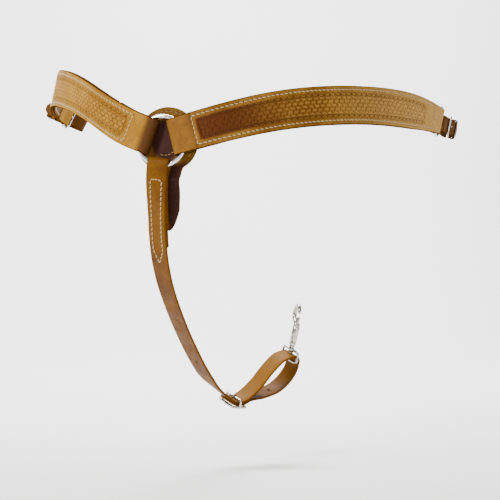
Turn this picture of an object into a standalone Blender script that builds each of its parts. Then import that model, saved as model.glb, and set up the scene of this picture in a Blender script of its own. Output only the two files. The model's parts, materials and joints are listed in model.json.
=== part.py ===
"""Western horse breastplate: two tooled chest straps, a centre ring with its leather safe, and a down strap
that ends in an adjustable loop with a swivel snap. Lengths below are in millimetres and the meshes in metres.
+X is the horse's left, +Y points back towards the saddle, +Z is up, and the origin is the centre of the ring."""

import math

import bmesh
import bpy
import numpy as np

MM = 0.001
GAP = 0.3  # left between pieces that touch

# Centre ring and the leather behind it
RING_RADIUS = 32.8
RING_WIRE = 3.0
SAFE_HEAD_RADIUS = 44.0
SAFE_CENTRE = (4.0, 2.0)
SAFE_TAIL_LENGTH = 124.0
SAFE_THICKNESS = 3.2
LINING_THICKNESS = 2.4

# Chest straps. Each value is read at its own distance from the fold round the ring.
ARM_LENGTH = 498.0
ARM_LEATHER = 4.0
ARM_LINING = 3.0
HEADING_AT = (0.0, 20.0, 60.0, 200.0, 500.0)
HEADING = (0.0, 4.0, 24.0, 47.5, 78.3)
RISE_AT = (0.0, 60.0, 200.0, 500.0)
LEAN_AT = (0.0, 30.0, 100.0, 280.0, 500.0)
WIDTH_AT = (0.0, 60.0, 150.0, 300.0, 390.0, 500.0)
ARM_WIDTH = (49.0, 51.0, 53.5, 54.5, 53.0, 38.0)
# How far the left end dee rests turned in on its fold, and the snap turned on its swivel
DEE_TURN = 10.0
SNAP_TURN = -25.0
ARMS = {
    "left": {"mirror": 1, "rise": (14.5, 15.2, 7.0, -6.6), "lean": (0.0, 0.0, -3.6, -8.0, 10.6)},
    "right": {"mirror": -1, "rise": (20.7, 26.6, 13.3, -14.0), "lean": (0.0, 0.0, 2.8, -8.0, -24.0)},
}
RING_TAB = 58.0
DEE_TAB = 44.0
DEE_WIRE = 2.25
DEE_HALF_WIDTH = 22.0
DEE_HEIGHT = 25.0

# Tug: the buckled loop that takes the saddle's dee
TUG_WIDTH = 25.0
TUG_LEATHER = 2.5
TUG_HALF_LENGTH = 27.0
TUG_HALF_GAP = 6.0
TUG_HEEL = 8.0
TUG_TIP = 37.0
BUCKLE_WIRE = 1.6
BUCKLE_LENGTH = 13.0
TONGUE_WIRE = 1.2

# Down strap and the loop at its end
STRAP_WIDTH = 30.0
STRAP_LEATHER = 3.4
STRAP_TAB = 128.0
STRAP_RUN = 487.0
STRAP_HANG = -98.0
TURN_AT = (0.0, 15.0, 80.0, 395.0, 455.0, 520.0)
STRAP_YAW = (0.0, 0.0, -14.7, -14.7, -33.3, -33.3)
STRAP_ROLL = (-8.0, -8.0, -15.4, -15.4, -18.9, -18.9)
SWEEP_AT = (0.0, 10.0, 35.0, 100.0, 164.0, 202.0, 275.0, 361.0, 409.0, 470.0, 487.0)
STRAP_SWEEP = (0.0, 8.0, 20.0, 24.0, 35.0, 41.0, 46.0, 50.5, 54.5, 58.0, 80.0)
LOOP_OUT = ((0.0, 0.0), (14.0, 2.0), (38.0, 22.0), (57.0, 48.0), (75.0, 66.0), (90.0, 70.8))
LOOP_BEND = (96.5, 61.5)
LOOP_BEND_RADIUS = 9.5
LOOP_BACK = ((106.0, 61.5), (105.0, 47.0), (97.0, 30.0), (79.0, 14.0), (52.0, 5.5))
RETURN_END = 24.0
SLIDE_BAR = 2.0
SLIDE_HALF_LENGTH = 13.0

# Snap
EYE_WIRE = 2.0
EYE_HALF_WIDTH = 17.8
EYE_HEIGHT = 17.5
BARREL_RADIUS = 5.6
BARREL_LENGTH = 40.0
BOLT_RADIUS = 2.7
HOOK_WIRE = 3.2
HOOK_RADIUS = 11.5

TAN = (0.50, 0.27, 0.08)
TOOLED = (0.44, 0.21, 0.06)
LINING = (0.36, 0.20, 0.09)
NICKEL = (0.78, 0.76, 0.72)


def smooth_values(knots, values, at):
    """Values that pass smoothly through the knots, without overshooting them."""
    knots = np.asarray(knots, float)
    values = np.asarray(values, float)
    rates = (np.diff(values, axis=0).T / np.diff(knots)).T
    before, after = rates[:-1], rates[1:]
    slopes = np.zeros_like(values)
    limit = 3 * np.minimum(abs(before), abs(after))
    slopes[1:-1] = np.where(before * after > 0, np.clip((before + after) / 2, -limit, limit), 0)
    slopes[0], slopes[-1] = rates[0], rates[-1]
    at = np.asarray(at, float)
    left = np.clip(np.searchsorted(knots, at, side="right") - 1, 0, len(knots) - 2)
    span = knots[left + 1] - knots[left]
    u = (at - knots[left]) / span
    if values.ndim > 1:
        u, span = u[:, None], span[:, None]
    start = (2 * u**3 - 3 * u**2 + 1) * values[left] + (u**3 - 2 * u**2 + u) * span * slopes[left]
    end = (3 * u**2 - 2 * u**3) * values[left + 1] + (u**3 - u**2) * span * slopes[left + 1]
    return start + end


def unit(vector):
    vector = np.asarray(vector, float)
    return vector / np.linalg.norm(vector, axis=-1, keepdims=True)


def tangents(points, closed=False):
    if closed:
        return unit(np.roll(points, -1, axis=0) - np.roll(points, 1, axis=0))
    return unit(np.gradient(np.asarray(points, float), axis=0))


def eased(low, high, at):
    """0 up to low, 1 from high, and a smooth step between."""
    u = np.clip((np.asarray(at, float) - low) / (high - low), 0, 1)
    return u * u * (3 - 2 * u)


def walk(start, directions, step):
    """Points reached from start by steps along the directions."""
    middle = (directions[1:] + directions[:-1]) / 2 * step
    return np.vstack([start, start + np.cumsum(middle, axis=0)])


def sample(stations, table, at):
    """Rows of table at the wanted stations."""
    return np.stack([np.interp(at, stations, column) for column in table.T], axis=1)


def material(name, colour, roughness, metallic):
    found = bpy.data.materials.new(name)
    found.use_nodes = True
    shader = found.node_tree.nodes["Principled BSDF"]
    shader.inputs["Base Color"].default_value = (*colour, 1)
    shader.inputs["Roughness"].default_value = roughness
    shader.inputs["Metallic"].default_value = metallic
    return found


def add_object(name, points, faces, colour, pivot=(0, 0, 0), metal=False):
    """One named object with its own material and its origin at the pivot."""
    mesh = bpy.data.meshes.new(name)
    pivot = np.asarray(pivot, float)
    mesh.from_pydata(((np.asarray(points) - pivot) * MM).tolist(), [], [list(map(int, f)) for f in faces])
    shape = bmesh.new()
    shape.from_mesh(mesh)
    if shape.calc_volume(signed=True) < 0:
        bmesh.ops.reverse_faces(shape, faces=shape.faces)
    shape.to_mesh(mesh)
    shape.free()
    mesh.shade_smooth()
    mesh.set_sharp_from_angle(angle=math.radians(35))
    made = bpy.data.objects.new(name, mesh)
    made.location = (pivot * MM).tolist()
    bpy.context.scene.collection.objects.link(made)
    made.data.materials.append(material(name, colour, 0.25 if metal else 0.55, 1.0 if metal else 0.0))
    return made


def skin(rings, closed=False):
    """Points and faces of the surface through a list of equal rings, with flat caps unless it is closed.
    Each four-sided patch is split along its shorter diagonal, so that layers that lie together stay apart."""
    rings = np.asarray(rings)
    count, around = rings.shape[:2]
    flat = rings.reshape(-1, 3)
    faces = []
    for i in range(count if closed else count - 1):
        here = i * around
        there = (i + 1) % count * around
        for k in range(around):
            after = (k + 1) % around
            corners = (here + k, here + after, there + after, there + k)
            a, b, c, d = corners
            if np.linalg.norm(flat[a] - flat[c]) <= np.linalg.norm(flat[b] - flat[d]):
                faces += [(a, b, c), (a, c, d)]
            else:
                faces += [(a, b, d), (b, c, d)]
    if not closed:
        faces.append(tuple(range(around))[::-1])
        faces.append(tuple((count - 1) * around + k for k in range(around)))
    return flat, faces


def strap(centres, sides, widths, thickness, closed=False):
    """A flat strap with eased edges, swept along its middle line. Sides point across its width."""
    centres = np.asarray(centres, float)
    along = tangents(centres, closed)
    sides = unit(sides)
    normals = unit(np.cross(along, sides))
    half = np.broadcast_to(np.asarray(widths, float) / 2, len(centres))[:, None]
    thick = thickness / 2
    ease = np.minimum(thickness * 0.3, half * 0.8)
    rings = []
    for across, out in ((1, -1), (1, 1), (-1, 1), (-1, -1)):
        corner = across * sides * half + out * normals * thick
        inward = -across * sides * ease
        level = -out * normals * thickness * 0.3
        rings += [corner + inward, corner + level] if across * out < 0 else [corner + level, corner + inward]
    return skin(np.stack(rings, axis=1) + centres[:, None], closed)


def tube(centres, radius, sides=10, closed=False, start_normal=None):
    """A round bar along a line. The ring's frame is carried along so that it doesn't twist."""
    centres = np.asarray(centres, float)
    along = tangents(centres, closed)
    normal = np.asarray(start_normal if start_normal is not None else (0.31, 0.17, 0.94), float)
    angles = np.arange(sides) * 2 * math.pi / sides
    radius = np.broadcast_to(np.asarray(radius, float), len(centres))
    rings = []
    for i, direction in enumerate(along):
        normal = unit(normal - normal.dot(direction) * direction)
        other = np.cross(direction, normal)
        rings.append(centres[i] + radius[i] * (np.outer(np.cos(angles), normal) + np.outer(np.sin(angles), other)))
    return skin(rings, closed)


def turned(profile, base, axis, sides=20):
    """A solid turned round an axis. The profile holds (distance along it, radius) pairs."""
    axis = unit(axis)
    across = unit(np.cross(axis, (0.83, 0.41, 0.37)))
    other = np.cross(axis, across)
    angles = np.arange(sides) * 2 * math.pi / sides
    ring = np.outer(np.cos(angles), across) + np.outer(np.sin(angles), other)
    return skin([np.asarray(base) + axis * along + ring * radius for along, radius in profile])


def block(centre, axes, half):
    """A box with its own axes, for cutting slots."""
    signs = ((-1, -1), (1, -1), (1, 1), (-1, 1))
    rings = []
    for end in (-1, 1):
        base = np.asarray(centre) + end * half[2] * np.asarray(axes[2])
        rings.append([base + a * half[0] * np.asarray(axes[0]) + b * half[1] * np.asarray(axes[1]) for a, b in signs])
    return skin(rings)


def use_shape(target, name, shape, operation):
    """Cuts a hidden helper shape from the target, or joins it on."""
    helper = add_object(name, *shape, NICKEL)
    helper.hide_render = True
    helper.display_type = "WIRE"
    boolean = target.modifiers.new(name, "BOOLEAN")
    boolean.operation = operation
    boolean.solver = "EXACT"
    boolean.object = helper


def half_turn(centre, start, towards, radius, steps=9):
    """Points of a half circle from start round through the towards direction, without its two ends."""
    angles = np.linspace(0, math.pi, steps + 2)[1:-1]
    return centre + radius * (np.outer(np.cos(angles), start) + np.outer(np.sin(angles), towards))


def arm_line(side):
    """The front leather's middle line every millimetre, with its tangents, outward normals and side directions."""
    form = ARMS[side]
    stations = np.arange(0, ARM_LENGTH + 1)
    heading = np.radians(smooth_values(HEADING_AT, HEADING, stations))
    rise = np.radians(smooth_values(RISE_AT, form["rise"], stations))
    lean = np.radians(smooth_values(LEAN_AT, form["lean"], stations))
    flat = np.zeros_like(heading)
    along = np.stack([np.cos(rise) * np.cos(heading), np.cos(rise) * np.sin(heading), np.sin(rise)], axis=1)
    outward = np.stack([np.sin(heading), -np.cos(heading), flat], axis=1)
    upward = unit(np.cross(outward, along))
    across = upward * np.cos(lean)[:, None] + outward * np.sin(lean)[:, None]
    normal = unit(np.cross(along, across))
    fold = arm_fold_radius()
    half_width = ARM_WIDTH[0] / 2
    reach = math.sqrt(RING_RADIUS**2 - half_width**2) - 1.5
    start = along[0] * reach + normal[0] * fold
    points = walk(start, along, 1.0)
    mirror = np.array([form["mirror"], 1, 1])
    return stations, points * mirror, along * mirror, normal * mirror, across * mirror


def arm_fold_radius():
    return RING_WIRE + 0.5 + ARM_LEATHER / 2


def dee_fold_radius():
    return DEE_WIRE + 0.5 + ARM_LEATHER / 2


def arm_ends(side):
    """Centre and axis of the fold round the ring, and of the fold round the end dee, with the dee's directions."""
    stations, points, along, normal, across = arm_line(side)
    ring_fold = points[0] - normal[0] * arm_fold_radius()
    dee_fold = points[-1] - normal[-1] * dee_fold_radius()
    turn = math.radians(DEE_TURN) if side == "left" else 0.0
    dee_side = np.cross(across[-1], along[-1])
    dee_reach = along[-1] * math.cos(turn) + dee_side * math.sin(turn)
    return {
        "ring_fold": ring_fold,
        "ring_axis": across[0],
        "dee_fold": dee_fold,
        "dee_axis": across[-1],
        "dee_reach": dee_reach,
        "dee_normal": unit(np.cross(dee_reach, across[-1])),
    }


def arm_places():
    """Stations of the chest strap's cross-sections. Its tabs and lining share them."""
    near = np.linspace(0, RING_TAB, 14)
    far = np.linspace(ARM_LENGTH - DEE_TAB, ARM_LENGTH, 10)
    return np.concatenate([near, np.linspace(RING_TAB, ARM_LENGTH - DEE_TAB, 34)[1:-1], far])


def chest_strap(side):
    stations, points, along, normal, across = arm_line(side)
    close = ARM_LEATHER + GAP
    clear = RING_RADIUS - math.sqrt(RING_RADIUS**2 - ARM_WIDTH[0] ** 2 / 4) + RING_WIRE
    front = arm_places()
    ring_tab = front[front <= RING_TAB][::-1]
    ring_gap = close + (2 * arm_fold_radius() - close) * (1 - eased(clear, clear + 14, ring_tab))
    dee_tab = front[front >= ARM_LENGTH - DEE_TAB][::-1]
    dee_gap = close + (2 * dee_fold_radius() - close) * (1 - eased(4, 16, ARM_LENGTH - dee_tab))
    ends = arm_ends(side)
    back_start = sample(stations, points, ring_tab) - sample(stations, normal, ring_tab) * ring_gap[:, None]
    back_end = sample(stations, points, dee_tab) - sample(stations, normal, dee_tab) * dee_gap[:, None]
    ring_turn = half_turn(ends["ring_fold"], -normal[0], -along[0], arm_fold_radius())
    dee_turn = half_turn(ends["dee_fold"], normal[-1], along[-1], dee_fold_radius())
    line = np.vstack([back_start, ring_turn, sample(stations, points, front), dee_turn, back_end])
    places = np.concatenate([ring_tab, np.zeros(9), front, np.full(9, ARM_LENGTH), dee_tab])
    sides = sample(stations, across, places)
    widths = smooth_values(WIDTH_AT, ARM_WIDTH, places)
    return add_object(f"{side}_chest_strap", *strap(line, sides, widths, ARM_LEATHER), TOOLED, ends["ring_fold"])


def strap_lining(side):
    stations, points, along, normal, across = arm_line(side)
    places = arm_places()
    places = places[(places > RING_TAB + 1) & (places < ARM_LENGTH - DEE_TAB - 1)]
    depth = ARM_LEATHER / 2 + GAP + ARM_LINING / 2
    line = sample(stations, points, places) - sample(stations, normal, places) * depth
    widths = smooth_values(WIDTH_AT, ARM_WIDTH, places) - 0.6
    shape = strap(line, sample(stations, across, places), widths, ARM_LINING)
    return add_object(f"{side}_strap_lining", *shape, LINING, arm_ends(side)["ring_fold"])


def dee_outline():
    """A half-round dee in its own plane: (along the bar, away from the bar) pairs."""
    bar = [(x, 0.0) for x in np.linspace(-0.8, 0.8, 7) * DEE_HALF_WIDTH]
    corner = DEE_HALF_WIDTH * 0.2
    turns = [(0.8 * DEE_HALF_WIDTH + corner * math.sin(a), corner * (1 - math.cos(a))) for a in (0.5, 1.05)]
    bow = [
        (DEE_HALF_WIDTH * math.cos(a), corner + (DEE_HEIGHT - corner) * math.sin(a))
        for a in np.linspace(0, math.pi, 19)
    ]
    back = [(-x, y) for x, y in turns[::-1]]
    return bar + turns + bow + back


def end_dee(side):
    ends = arm_ends(side)
    line = [ends["dee_fold"] + ends["dee_axis"] * x + ends["dee_reach"] * y for x, y in dee_outline()]
    shape = tube(line, DEE_WIRE, closed=True, start_normal=ends["dee_normal"])
    return add_object(f"{side}_end_dee", *shape, NICKEL, ends["dee_fold"], metal=True)


def tug_frame(side):
    """Origin and axes of the tug: its length, its outward direction, and its strap's width (+Z).
    The left tug follows its strap to the rear, and the right one hangs crosswise."""
    ends = arm_ends(side)
    upright = ends["dee_axis"]
    if side == "left":
        bow = ends["dee_fold"] + ends["dee_reach"] * (DEE_HEIGHT - 1.0)
        length = ends["dee_reach"]
        origin = bow + length * (TUG_HALF_LENGTH - 2.0)
    else:
        bow = ends["dee_fold"] + ends["dee_reach"] * (DEE_HEIGHT - 1.8)
        length = unit(np.cross(upright, ends["dee_reach"]))
        length *= -np.sign(length[0])
        origin = bow + length * 8.0
    outward = unit(np.cross(upright, length)) * (-1 if side == "left" else 1)
    return origin, length, outward, upright


def in_frame(frame, pairs):
    """Points from (along, out) pairs in a frame, on its middle plane."""
    origin, length, outward, upright = frame
    return np.array([origin + length * x + outward * y for x, y in pairs])


def tug_line():
    """Middle line of the tug's leather as (along, out) pairs: chape, loop, then the billet with its tip."""
    fold = BUCKLE_WIRE + 0.4 + TUG_LEATHER / 2
    step = TUG_LEATHER + GAP
    strand = TUG_HEEL + 0.8
    turn = np.linspace(0, math.pi, 9)
    chape = [(12.0, strand - step), (7.5, strand - step)]
    heel = [(-fold * math.sin(a), TUG_HEEL - fold * math.cos(a)) for a in turn]
    front = [(7.5, strand), (13.0, strand), (19.0, strand)]
    near_end = [
        (TUG_HALF_LENGTH + TUG_HALF_GAP * math.sin(a), TUG_HALF_GAP * math.cos(a)) for a in turn
    ]
    far_end = [
        (-TUG_HALF_LENGTH - TUG_HALF_GAP * math.sin(a), -TUG_HALF_GAP * math.cos(a)) for a in turn
    ]
    over = TUG_HEEL + fold + step
    billet = [(-19.0, 6.2), (-BUCKLE_LENGTH, 7.3), (-6.0, 11.0), (0.0, over), (6.0, strand + step + 0.9)]
    tip = [(12.0, strand + step), (22.0, strand + step), (30.0, strand + step), (TUG_TIP, strand + step)]
    return chape + heel + front + near_end + far_end + billet + tip


def smooth_line(pairs, spacing):
    """A smooth curve through the given points, sampled about every spacing."""
    pairs = np.asarray(pairs, float)
    reach = np.concatenate([[0], np.cumsum(np.linalg.norm(np.diff(pairs, axis=0), axis=1))])
    places = np.linspace(0, reach[-1], int(reach[-1] / spacing) + 1)
    return smooth_values(reach, pairs, places)


def tug_strap(side):
    frame = tug_frame(side)
    pairs = smooth_line(tug_line(), 3.0)
    line = in_frame(frame, pairs)
    sides = np.tile(frame[3], (len(line), 1))
    widths = np.full(len(line), TUG_WIDTH)
    widths[-3:] = (TUG_WIDTH * 0.9, TUG_WIDTH * 0.7, TUG_WIDTH * 0.35)
    pivot = arm_ends(side)["dee_fold"] + arm_ends(side)["dee_reach"] * DEE_HEIGHT
    made = add_object(f"{side}_tug_strap", *strap(line, sides, widths, TUG_LEATHER), TAN, pivot)
    axes = (frame[1], frame[2], frame[3])
    heel_slot = in_frame(frame, [(-1.5, TUG_HEEL)])[0]
    use_shape(made, f"{side}_tug_heel_slot", block(heel_slot, axes, (5.7, 5.4, 2.6)), "DIFFERENCE")
    hole = in_frame(frame, [(-6.6, 10.8)])[0]
    use_shape(made, f"{side}_tug_hole", block(hole, axes, (4.2, 4.6, 1.9)), "DIFFERENCE")
    return made


def rounded_loop(first, second, half_width, corner):
    """A closed rectangle with round corners between two bars, as (along, out, up) triples."""
    first, second = np.asarray(first, float), np.asarray(second, float)
    reach = np.linalg.norm(second - first)
    way = (second - first) / reach
    points = []
    for centre_along, centre_up, start in (
        (reach - corner, half_width - corner, 0.0),
        (corner, half_width - corner, 0.5),
        (corner, corner - half_width, 1.0),
        (reach - corner, corner - half_width, 1.5),
    ):
        for part in range(4):
            angle = (start + part / 6) * math.pi
            along = centre_along + corner * math.cos(angle)
            spot = first + way * along
            points.append((spot[0], spot[1], centre_up + corner * math.sin(angle)))
    return points


def place(frame, triples):
    origin, length, outward, upright = frame
    return np.array([origin + length * x + outward * y + upright * z for x, y, z in triples])


def tongue_shape(name, frame, heel, bar, bar_wire, wire, eye, pivot):
    """A buckle tongue: an eye round its bar, and a pin whose tip rests on the outer bar."""
    heel, bar = np.asarray(heel, float), np.asarray(bar, float)
    way = unit(bar - heel)
    outward = np.array([way[1], -way[0]]) if way[0] < 0 else np.array([-way[1], way[0]])
    rest = bar + outward * (bar_wire + wire + 0.4)
    way = unit(rest - heel)
    pin = [(*(heel + way * d), 0) for d in np.linspace(eye + wire * 0.9, np.linalg.norm(rest - heel) + 2.5, 6)]
    made = add_object(
        name, *tube(place(frame, pin), (wire, wire, wire, wire, wire * 0.9, wire * 0.55), 8), NICKEL, pivot, metal=True
    )
    hub = turned(((-1.7, eye + wire * 1.6), (1.7, eye + wire * 1.6)), pivot, frame[3], 16)
    use_shape(made, f"{name}_hub", hub, "UNION")
    use_shape(made, f"{name}_bore", turned(((-3, eye), (3, eye)), pivot, frame[3], 16), "DIFFERENCE")
    return made


def tug_buckle(side):
    frame = tug_frame(side)
    heel = (0.0, TUG_HEEL)
    outer = (-BUCKLE_LENGTH, 7.3 + TUG_LEATHER / 2 + GAP + BUCKLE_WIRE + 0.2)
    half_width = TUG_WIDTH / 2 + 1.0 + BUCKLE_WIRE
    loop = place(frame, rounded_loop(heel, outer, half_width, 3.0))
    pivot = in_frame(frame, [heel])[0]
    shape = tube(loop, BUCKLE_WIRE, 8, closed=True, start_normal=frame[2])
    add_object(f"{side}_tug_buckle", *shape, NICKEL, pivot, metal=True)
    eye = BUCKLE_WIRE + 0.25
    tongue_shape(f"{side}_tug_tongue", frame, heel, outer, BUCKLE_WIRE, TONGUE_WIRE, eye, pivot)


def tug_keeper(side):
    frame = tug_frame(side)
    strand = TUG_HEEL + 0.8
    low = strand - TUG_LEATHER / 2 - 1.6
    high = strand + TUG_LEATHER * 1.5 + GAP + 1.6
    centre_along = 16.4
    corners = rounded_loop((low, 0), (high, 0), TUG_WIDTH / 2 + 1.7, 1.8)
    line = place(frame, [(centre_along, x, z) for x, _, z in corners])
    sides = np.tile(frame[1], (len(line), 1))
    pivot = in_frame(frame, [(centre_along, strand)])[0]
    return add_object(f"{side}_tug_keeper", *strap(line, sides, 7.0, 1.8, closed=True), TAN, pivot)


def center_ring():
    angles = np.arange(48) * 2 * math.pi / 48
    line = np.stack([np.cos(angles), np.zeros(48), np.sin(angles)], axis=1) * RING_RADIUS
    return add_object("center_ring", *tube(line, RING_WIRE, 12, closed=True, start_normal=(0, 1, 0)), NICKEL, metal=True)


def safe_width(down):
    """Full width of the keyhole outline, measured downwards from its top edge."""
    radius = SAFE_HEAD_RADIUS
    total = 2 * radius + SAFE_TAIL_LENGTH - radius
    head = 2 * np.sqrt(np.clip(radius**2 - (down - radius) ** 2, 0, None))
    tail = 40.0 - 8.0 * eased(2 * radius + 18, total - 8, down)
    tail *= np.sqrt(np.clip((total - down) / 26.0, 0, 1))
    neck = eased(1.72 * radius, 2.0 * radius, down)
    return np.maximum(np.where(down < 1.62 * radius, head, head * (1 - neck) + tail * neck), 2.0)


def safe_layer(name, depth, thickness, trim, colour):
    """One layer of the keyhole-shaped leather behind the ring. Its tail bends back with the down strap."""
    total = SAFE_HEAD_RADIUS + SAFE_TAIL_LENGTH
    spread = (1 - np.cos(np.linspace(0, math.pi, 46))) / 2
    down = trim + spread * (total - 2 * trim)
    height = SAFE_CENTRE[1] + SAFE_HEAD_RADIUS - down
    bend = np.clip(-height - 40.0, 0, None)
    back = 0.36 * bend * eased(0, 30, bend)
    line = np.stack([SAFE_CENTRE[0] - 0.05 * bend - 4.5 * eased(0, 25, bend), back, height], axis=1)
    sides = np.tile([1.0, 0.0, 0.0], (len(line), 1))
    line += np.cross(sides, tangents(line)) * depth
    return add_object(name, *strap(line, sides, safe_width(down) - 2 * trim, thickness), colour)


def strap_axes(yaw, roll):
    """Side, backward and upward directions of the down strap, one row for each yaw and roll in degrees."""
    yaw, roll = np.radians(yaw), np.radians(roll)
    across = np.stack([np.cos(roll) * np.cos(yaw), np.cos(roll) * np.sin(yaw), np.sin(roll)], axis=-1)
    back = np.stack([-np.sin(yaw), np.cos(yaw), np.zeros_like(yaw)], axis=-1)
    return across, back, np.cross(across, back)


def strap_fold_radius():
    return RING_WIRE + 0.5 + STRAP_LEATHER / 2


def strap_run():
    """The down strap's middle line every millimetre from the ring to the slide buckle."""
    stations = np.arange(0, STRAP_RUN + 1)
    across, back, up = strap_axes(
        smooth_values(TURN_AT, STRAP_YAW, stations), smooth_values(TURN_AT, STRAP_ROLL, stations)
    )
    sweep = np.radians(smooth_values(SWEEP_AT, STRAP_SWEEP, stations))[:, None]
    along = back * np.sin(sweep) - up * np.cos(sweep)
    normal = np.cross(along, across)
    hang = math.radians(STRAP_HANG)
    reach = math.sqrt(RING_RADIUS**2 - STRAP_WIDTH**2 / 4)
    fold = np.array([math.cos(hang), 0, math.sin(hang)]) * reach
    points = walk(fold + normal[0] * strap_fold_radius(), along, 1.0)
    return stations, points, along, normal, across, fold


def loop_frame():
    """Frame of the adjustable loop: origin at the slide buckle, then backward, outward and side directions."""
    stations, points, along, normal, across, fold = strap_run()
    side, back, up = strap_axes(np.array(STRAP_YAW[-1]), np.array(STRAP_ROLL[-1]))
    return points[-1], back, -up, side


def loop_points(pairs):
    """Points of the loop's plane from (back, up) pairs."""
    origin, back, outward, side = loop_frame()
    return np.array([origin + back * x - outward * y for x, y in pairs])


def down_strap():
    stations, points, along, normal, across, fold = strap_run()
    close = STRAP_LEATHER + GAP
    clear = RING_RADIUS - math.sqrt(RING_RADIUS**2 - STRAP_WIDTH**2 / 4) + RING_WIRE
    run = np.concatenate([np.linspace(0, 32, 12), np.linspace(32, STRAP_TAB, 15)[1:]])
    tab = run[::-1]
    tab_gap = close + (2 * strap_fold_radius() - close) * (1 - eased(clear, clear + 14, tab))
    back_layer = sample(stations, points, tab) - sample(stations, normal, tab) * tab_gap[:, None]
    turn = half_turn(fold, -normal[0], -along[0], strap_fold_radius())
    run = np.concatenate([run, np.linspace(STRAP_TAB, 455, 24)[1:], np.linspace(455, STRAP_RUN, 9)[1:]])
    front = sample(stations, points, run)
    places = np.concatenate([tab, np.zeros(9), run])
    sides = sample(stations, across, places)
    side = loop_frame()[3]
    start_angle = math.atan2(LOOP_OUT[-1][1] - LOOP_BEND[1], LOOP_OUT[-1][0] - LOOP_BEND[0])
    arc = [
        (LOOP_BEND[0] + LOOP_BEND_RADIUS * math.cos(a), LOOP_BEND[1] + LOOP_BEND_RADIUS * math.sin(a))
        for a in np.linspace(start_angle, 0.0, 8)[1:]
    ]
    upper = smooth_line(list(LOOP_OUT), 5.0)[1:]
    under = return_layer()
    lower = smooth_line([*LOOP_BACK, *under[:2]], 5.0)[1:-1]
    loop = loop_points([*upper, *arc, *lower, *under])
    line = np.vstack([back_layer, turn, front, loop])
    sides = np.vstack([sides, np.tile(side, (len(loop), 1))])
    widths = np.full(len(line), STRAP_WIDTH)
    widths[:2] = (STRAP_WIDTH * 0.45, STRAP_WIDTH * 0.8)
    made = add_object("down_strap", *strap(line, sides, widths, STRAP_LEATHER), TAN, fold)
    frame = loop_frame()
    hole = slide_point(3.0, -2.4)
    use_shape(made, "slide_slot", block(hole, (frame[1], frame[2], frame[3]), (8.0, 7.5, 2.3)), "DIFFERENCE")
    return made


def return_layer():
    """The strap's end, lying against the outside of its own run in the slide buckle, as (back, up) pairs."""
    frame = loop_frame()
    stations, points, along, normal, across, fold = strap_run()
    behind = np.linspace(STRAP_RUN, STRAP_RUN - RETURN_END, 9)
    run = sample(stations, points, behind) - frame[0]
    pairs = np.stack([run @ frame[1], -run @ frame[2]], axis=1)
    ahead = smooth_line(list(LOOP_OUT), 3.0)[1:7][::-1]
    line = np.vstack([ahead, pairs])
    along_pairs = tangents(line)
    outward = np.stack([along_pairs[:, 1], -along_pairs[:, 0]], axis=1)
    outward *= -np.sign(outward[:, 1])[:, None]
    return line + outward * (STRAP_LEATHER + GAP + 0.1)


def slide_depth(back):
    """How far outward an outer bar of the slide lies, so that it clears the strap's outer layer."""
    line = return_layer()[::-1]
    order = np.argsort(line[:, 0])
    height = np.interp((back - 2, back, back + 2), line[order, 0], line[order, 1])
    slope = math.atan((height[2] - height[0]) / 4)
    return (STRAP_LEATHER / 2 + GAP + SLIDE_BAR + 0.3) / math.cos(slope) - height[1]


def slide_point(back, up):
    return loop_points([(back, up)])[0]


def girth_buckle():
    """A three-bar slide: the strap's two layers pass over its outer bars and under its middle bar."""
    frame = loop_frame()
    first = (-SLIDE_HALF_LENGTH, slide_depth(-SLIDE_HALF_LENGTH))
    second = (SLIDE_HALF_LENGTH, slide_depth(SLIDE_HALF_LENGTH))
    middle = (0.0, -(STRAP_LEATHER / 2 + GAP + SLIDE_BAR + 0.9))
    half_width = STRAP_WIDTH / 2 + 1.2 + SLIDE_BAR
    loop = place(frame, rounded_loop(first, second, half_width, 3.5))
    pivot = place(frame, [(*middle, 0)])[0]
    shape = tube(loop, SLIDE_BAR, 10, closed=True, start_normal=frame[2])
    made = add_object("girth_buckle", *shape, NICKEL, pivot, metal=True)
    reach = half_width
    low = middle[1]
    side_height = (first[1] + second[1]) / 2
    bar = [(0, side_height, -reach), (0, low + 2.2, -reach + 0.2), (0, low, -reach + 2.6), (0, low, 0)]
    bar += [(0, y, -z) for _, y, z in bar[:-1][::-1]]
    use_shape(made, "slide_middle_bar", tube(place(frame, bar), SLIDE_BAR * 0.9, 10), "UNION")
    eye = SLIDE_BAR * 0.9 + 0.25
    tongue_shape("girth_tongue", frame, middle, second, SLIDE_BAR, TONGUE_WIRE * 1.15, eye, pivot)
    return made


def snap_frame():
    """Frame of the snap: origin on the eye's lower bar, its nose up, and its flat across the loop."""
    origin, back, outward, side = loop_frame()
    bar = slide_point(*LOOP_BEND)
    return bar, -outward, back, side


def snap_eye():
    frame = snap_frame()
    loop = place(frame, rounded_loop((0, 0), (EYE_HEIGHT, 0), EYE_HALF_WIDTH, 4.5))
    shape = tube(loop, EYE_WIRE, 10, closed=True, start_normal=frame[2])
    made = add_object("snap_eye", *shape, NICKEL, frame[0], metal=True)
    boss = turned(((-3.0, 4.6), (3.2, 4.6)), frame[0] + frame[1] * EYE_HEIGHT, frame[1])
    use_shape(made, "eye_boss", boss, "UNION")
    bore = turned(((-8.0, 2.9), (8.0, 2.9)), frame[0] + frame[1] * EYE_HEIGHT, frame[1])
    use_shape(made, "eye_bore", bore, "DIFFERENCE")
    return made


def snap_sides():
    """The snap's flat side, turned on its swivel, and the direction square to it and to its length."""
    frame = snap_frame()
    turn = math.radians(SNAP_TURN)
    side = frame[3] * math.cos(turn) + frame[2] * math.sin(turn)
    return side, np.cross(side, frame[1])


def snap_base():
    frame = snap_frame()
    return frame[0] + frame[1] * (EYE_HEIGHT + 3.6)


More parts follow.
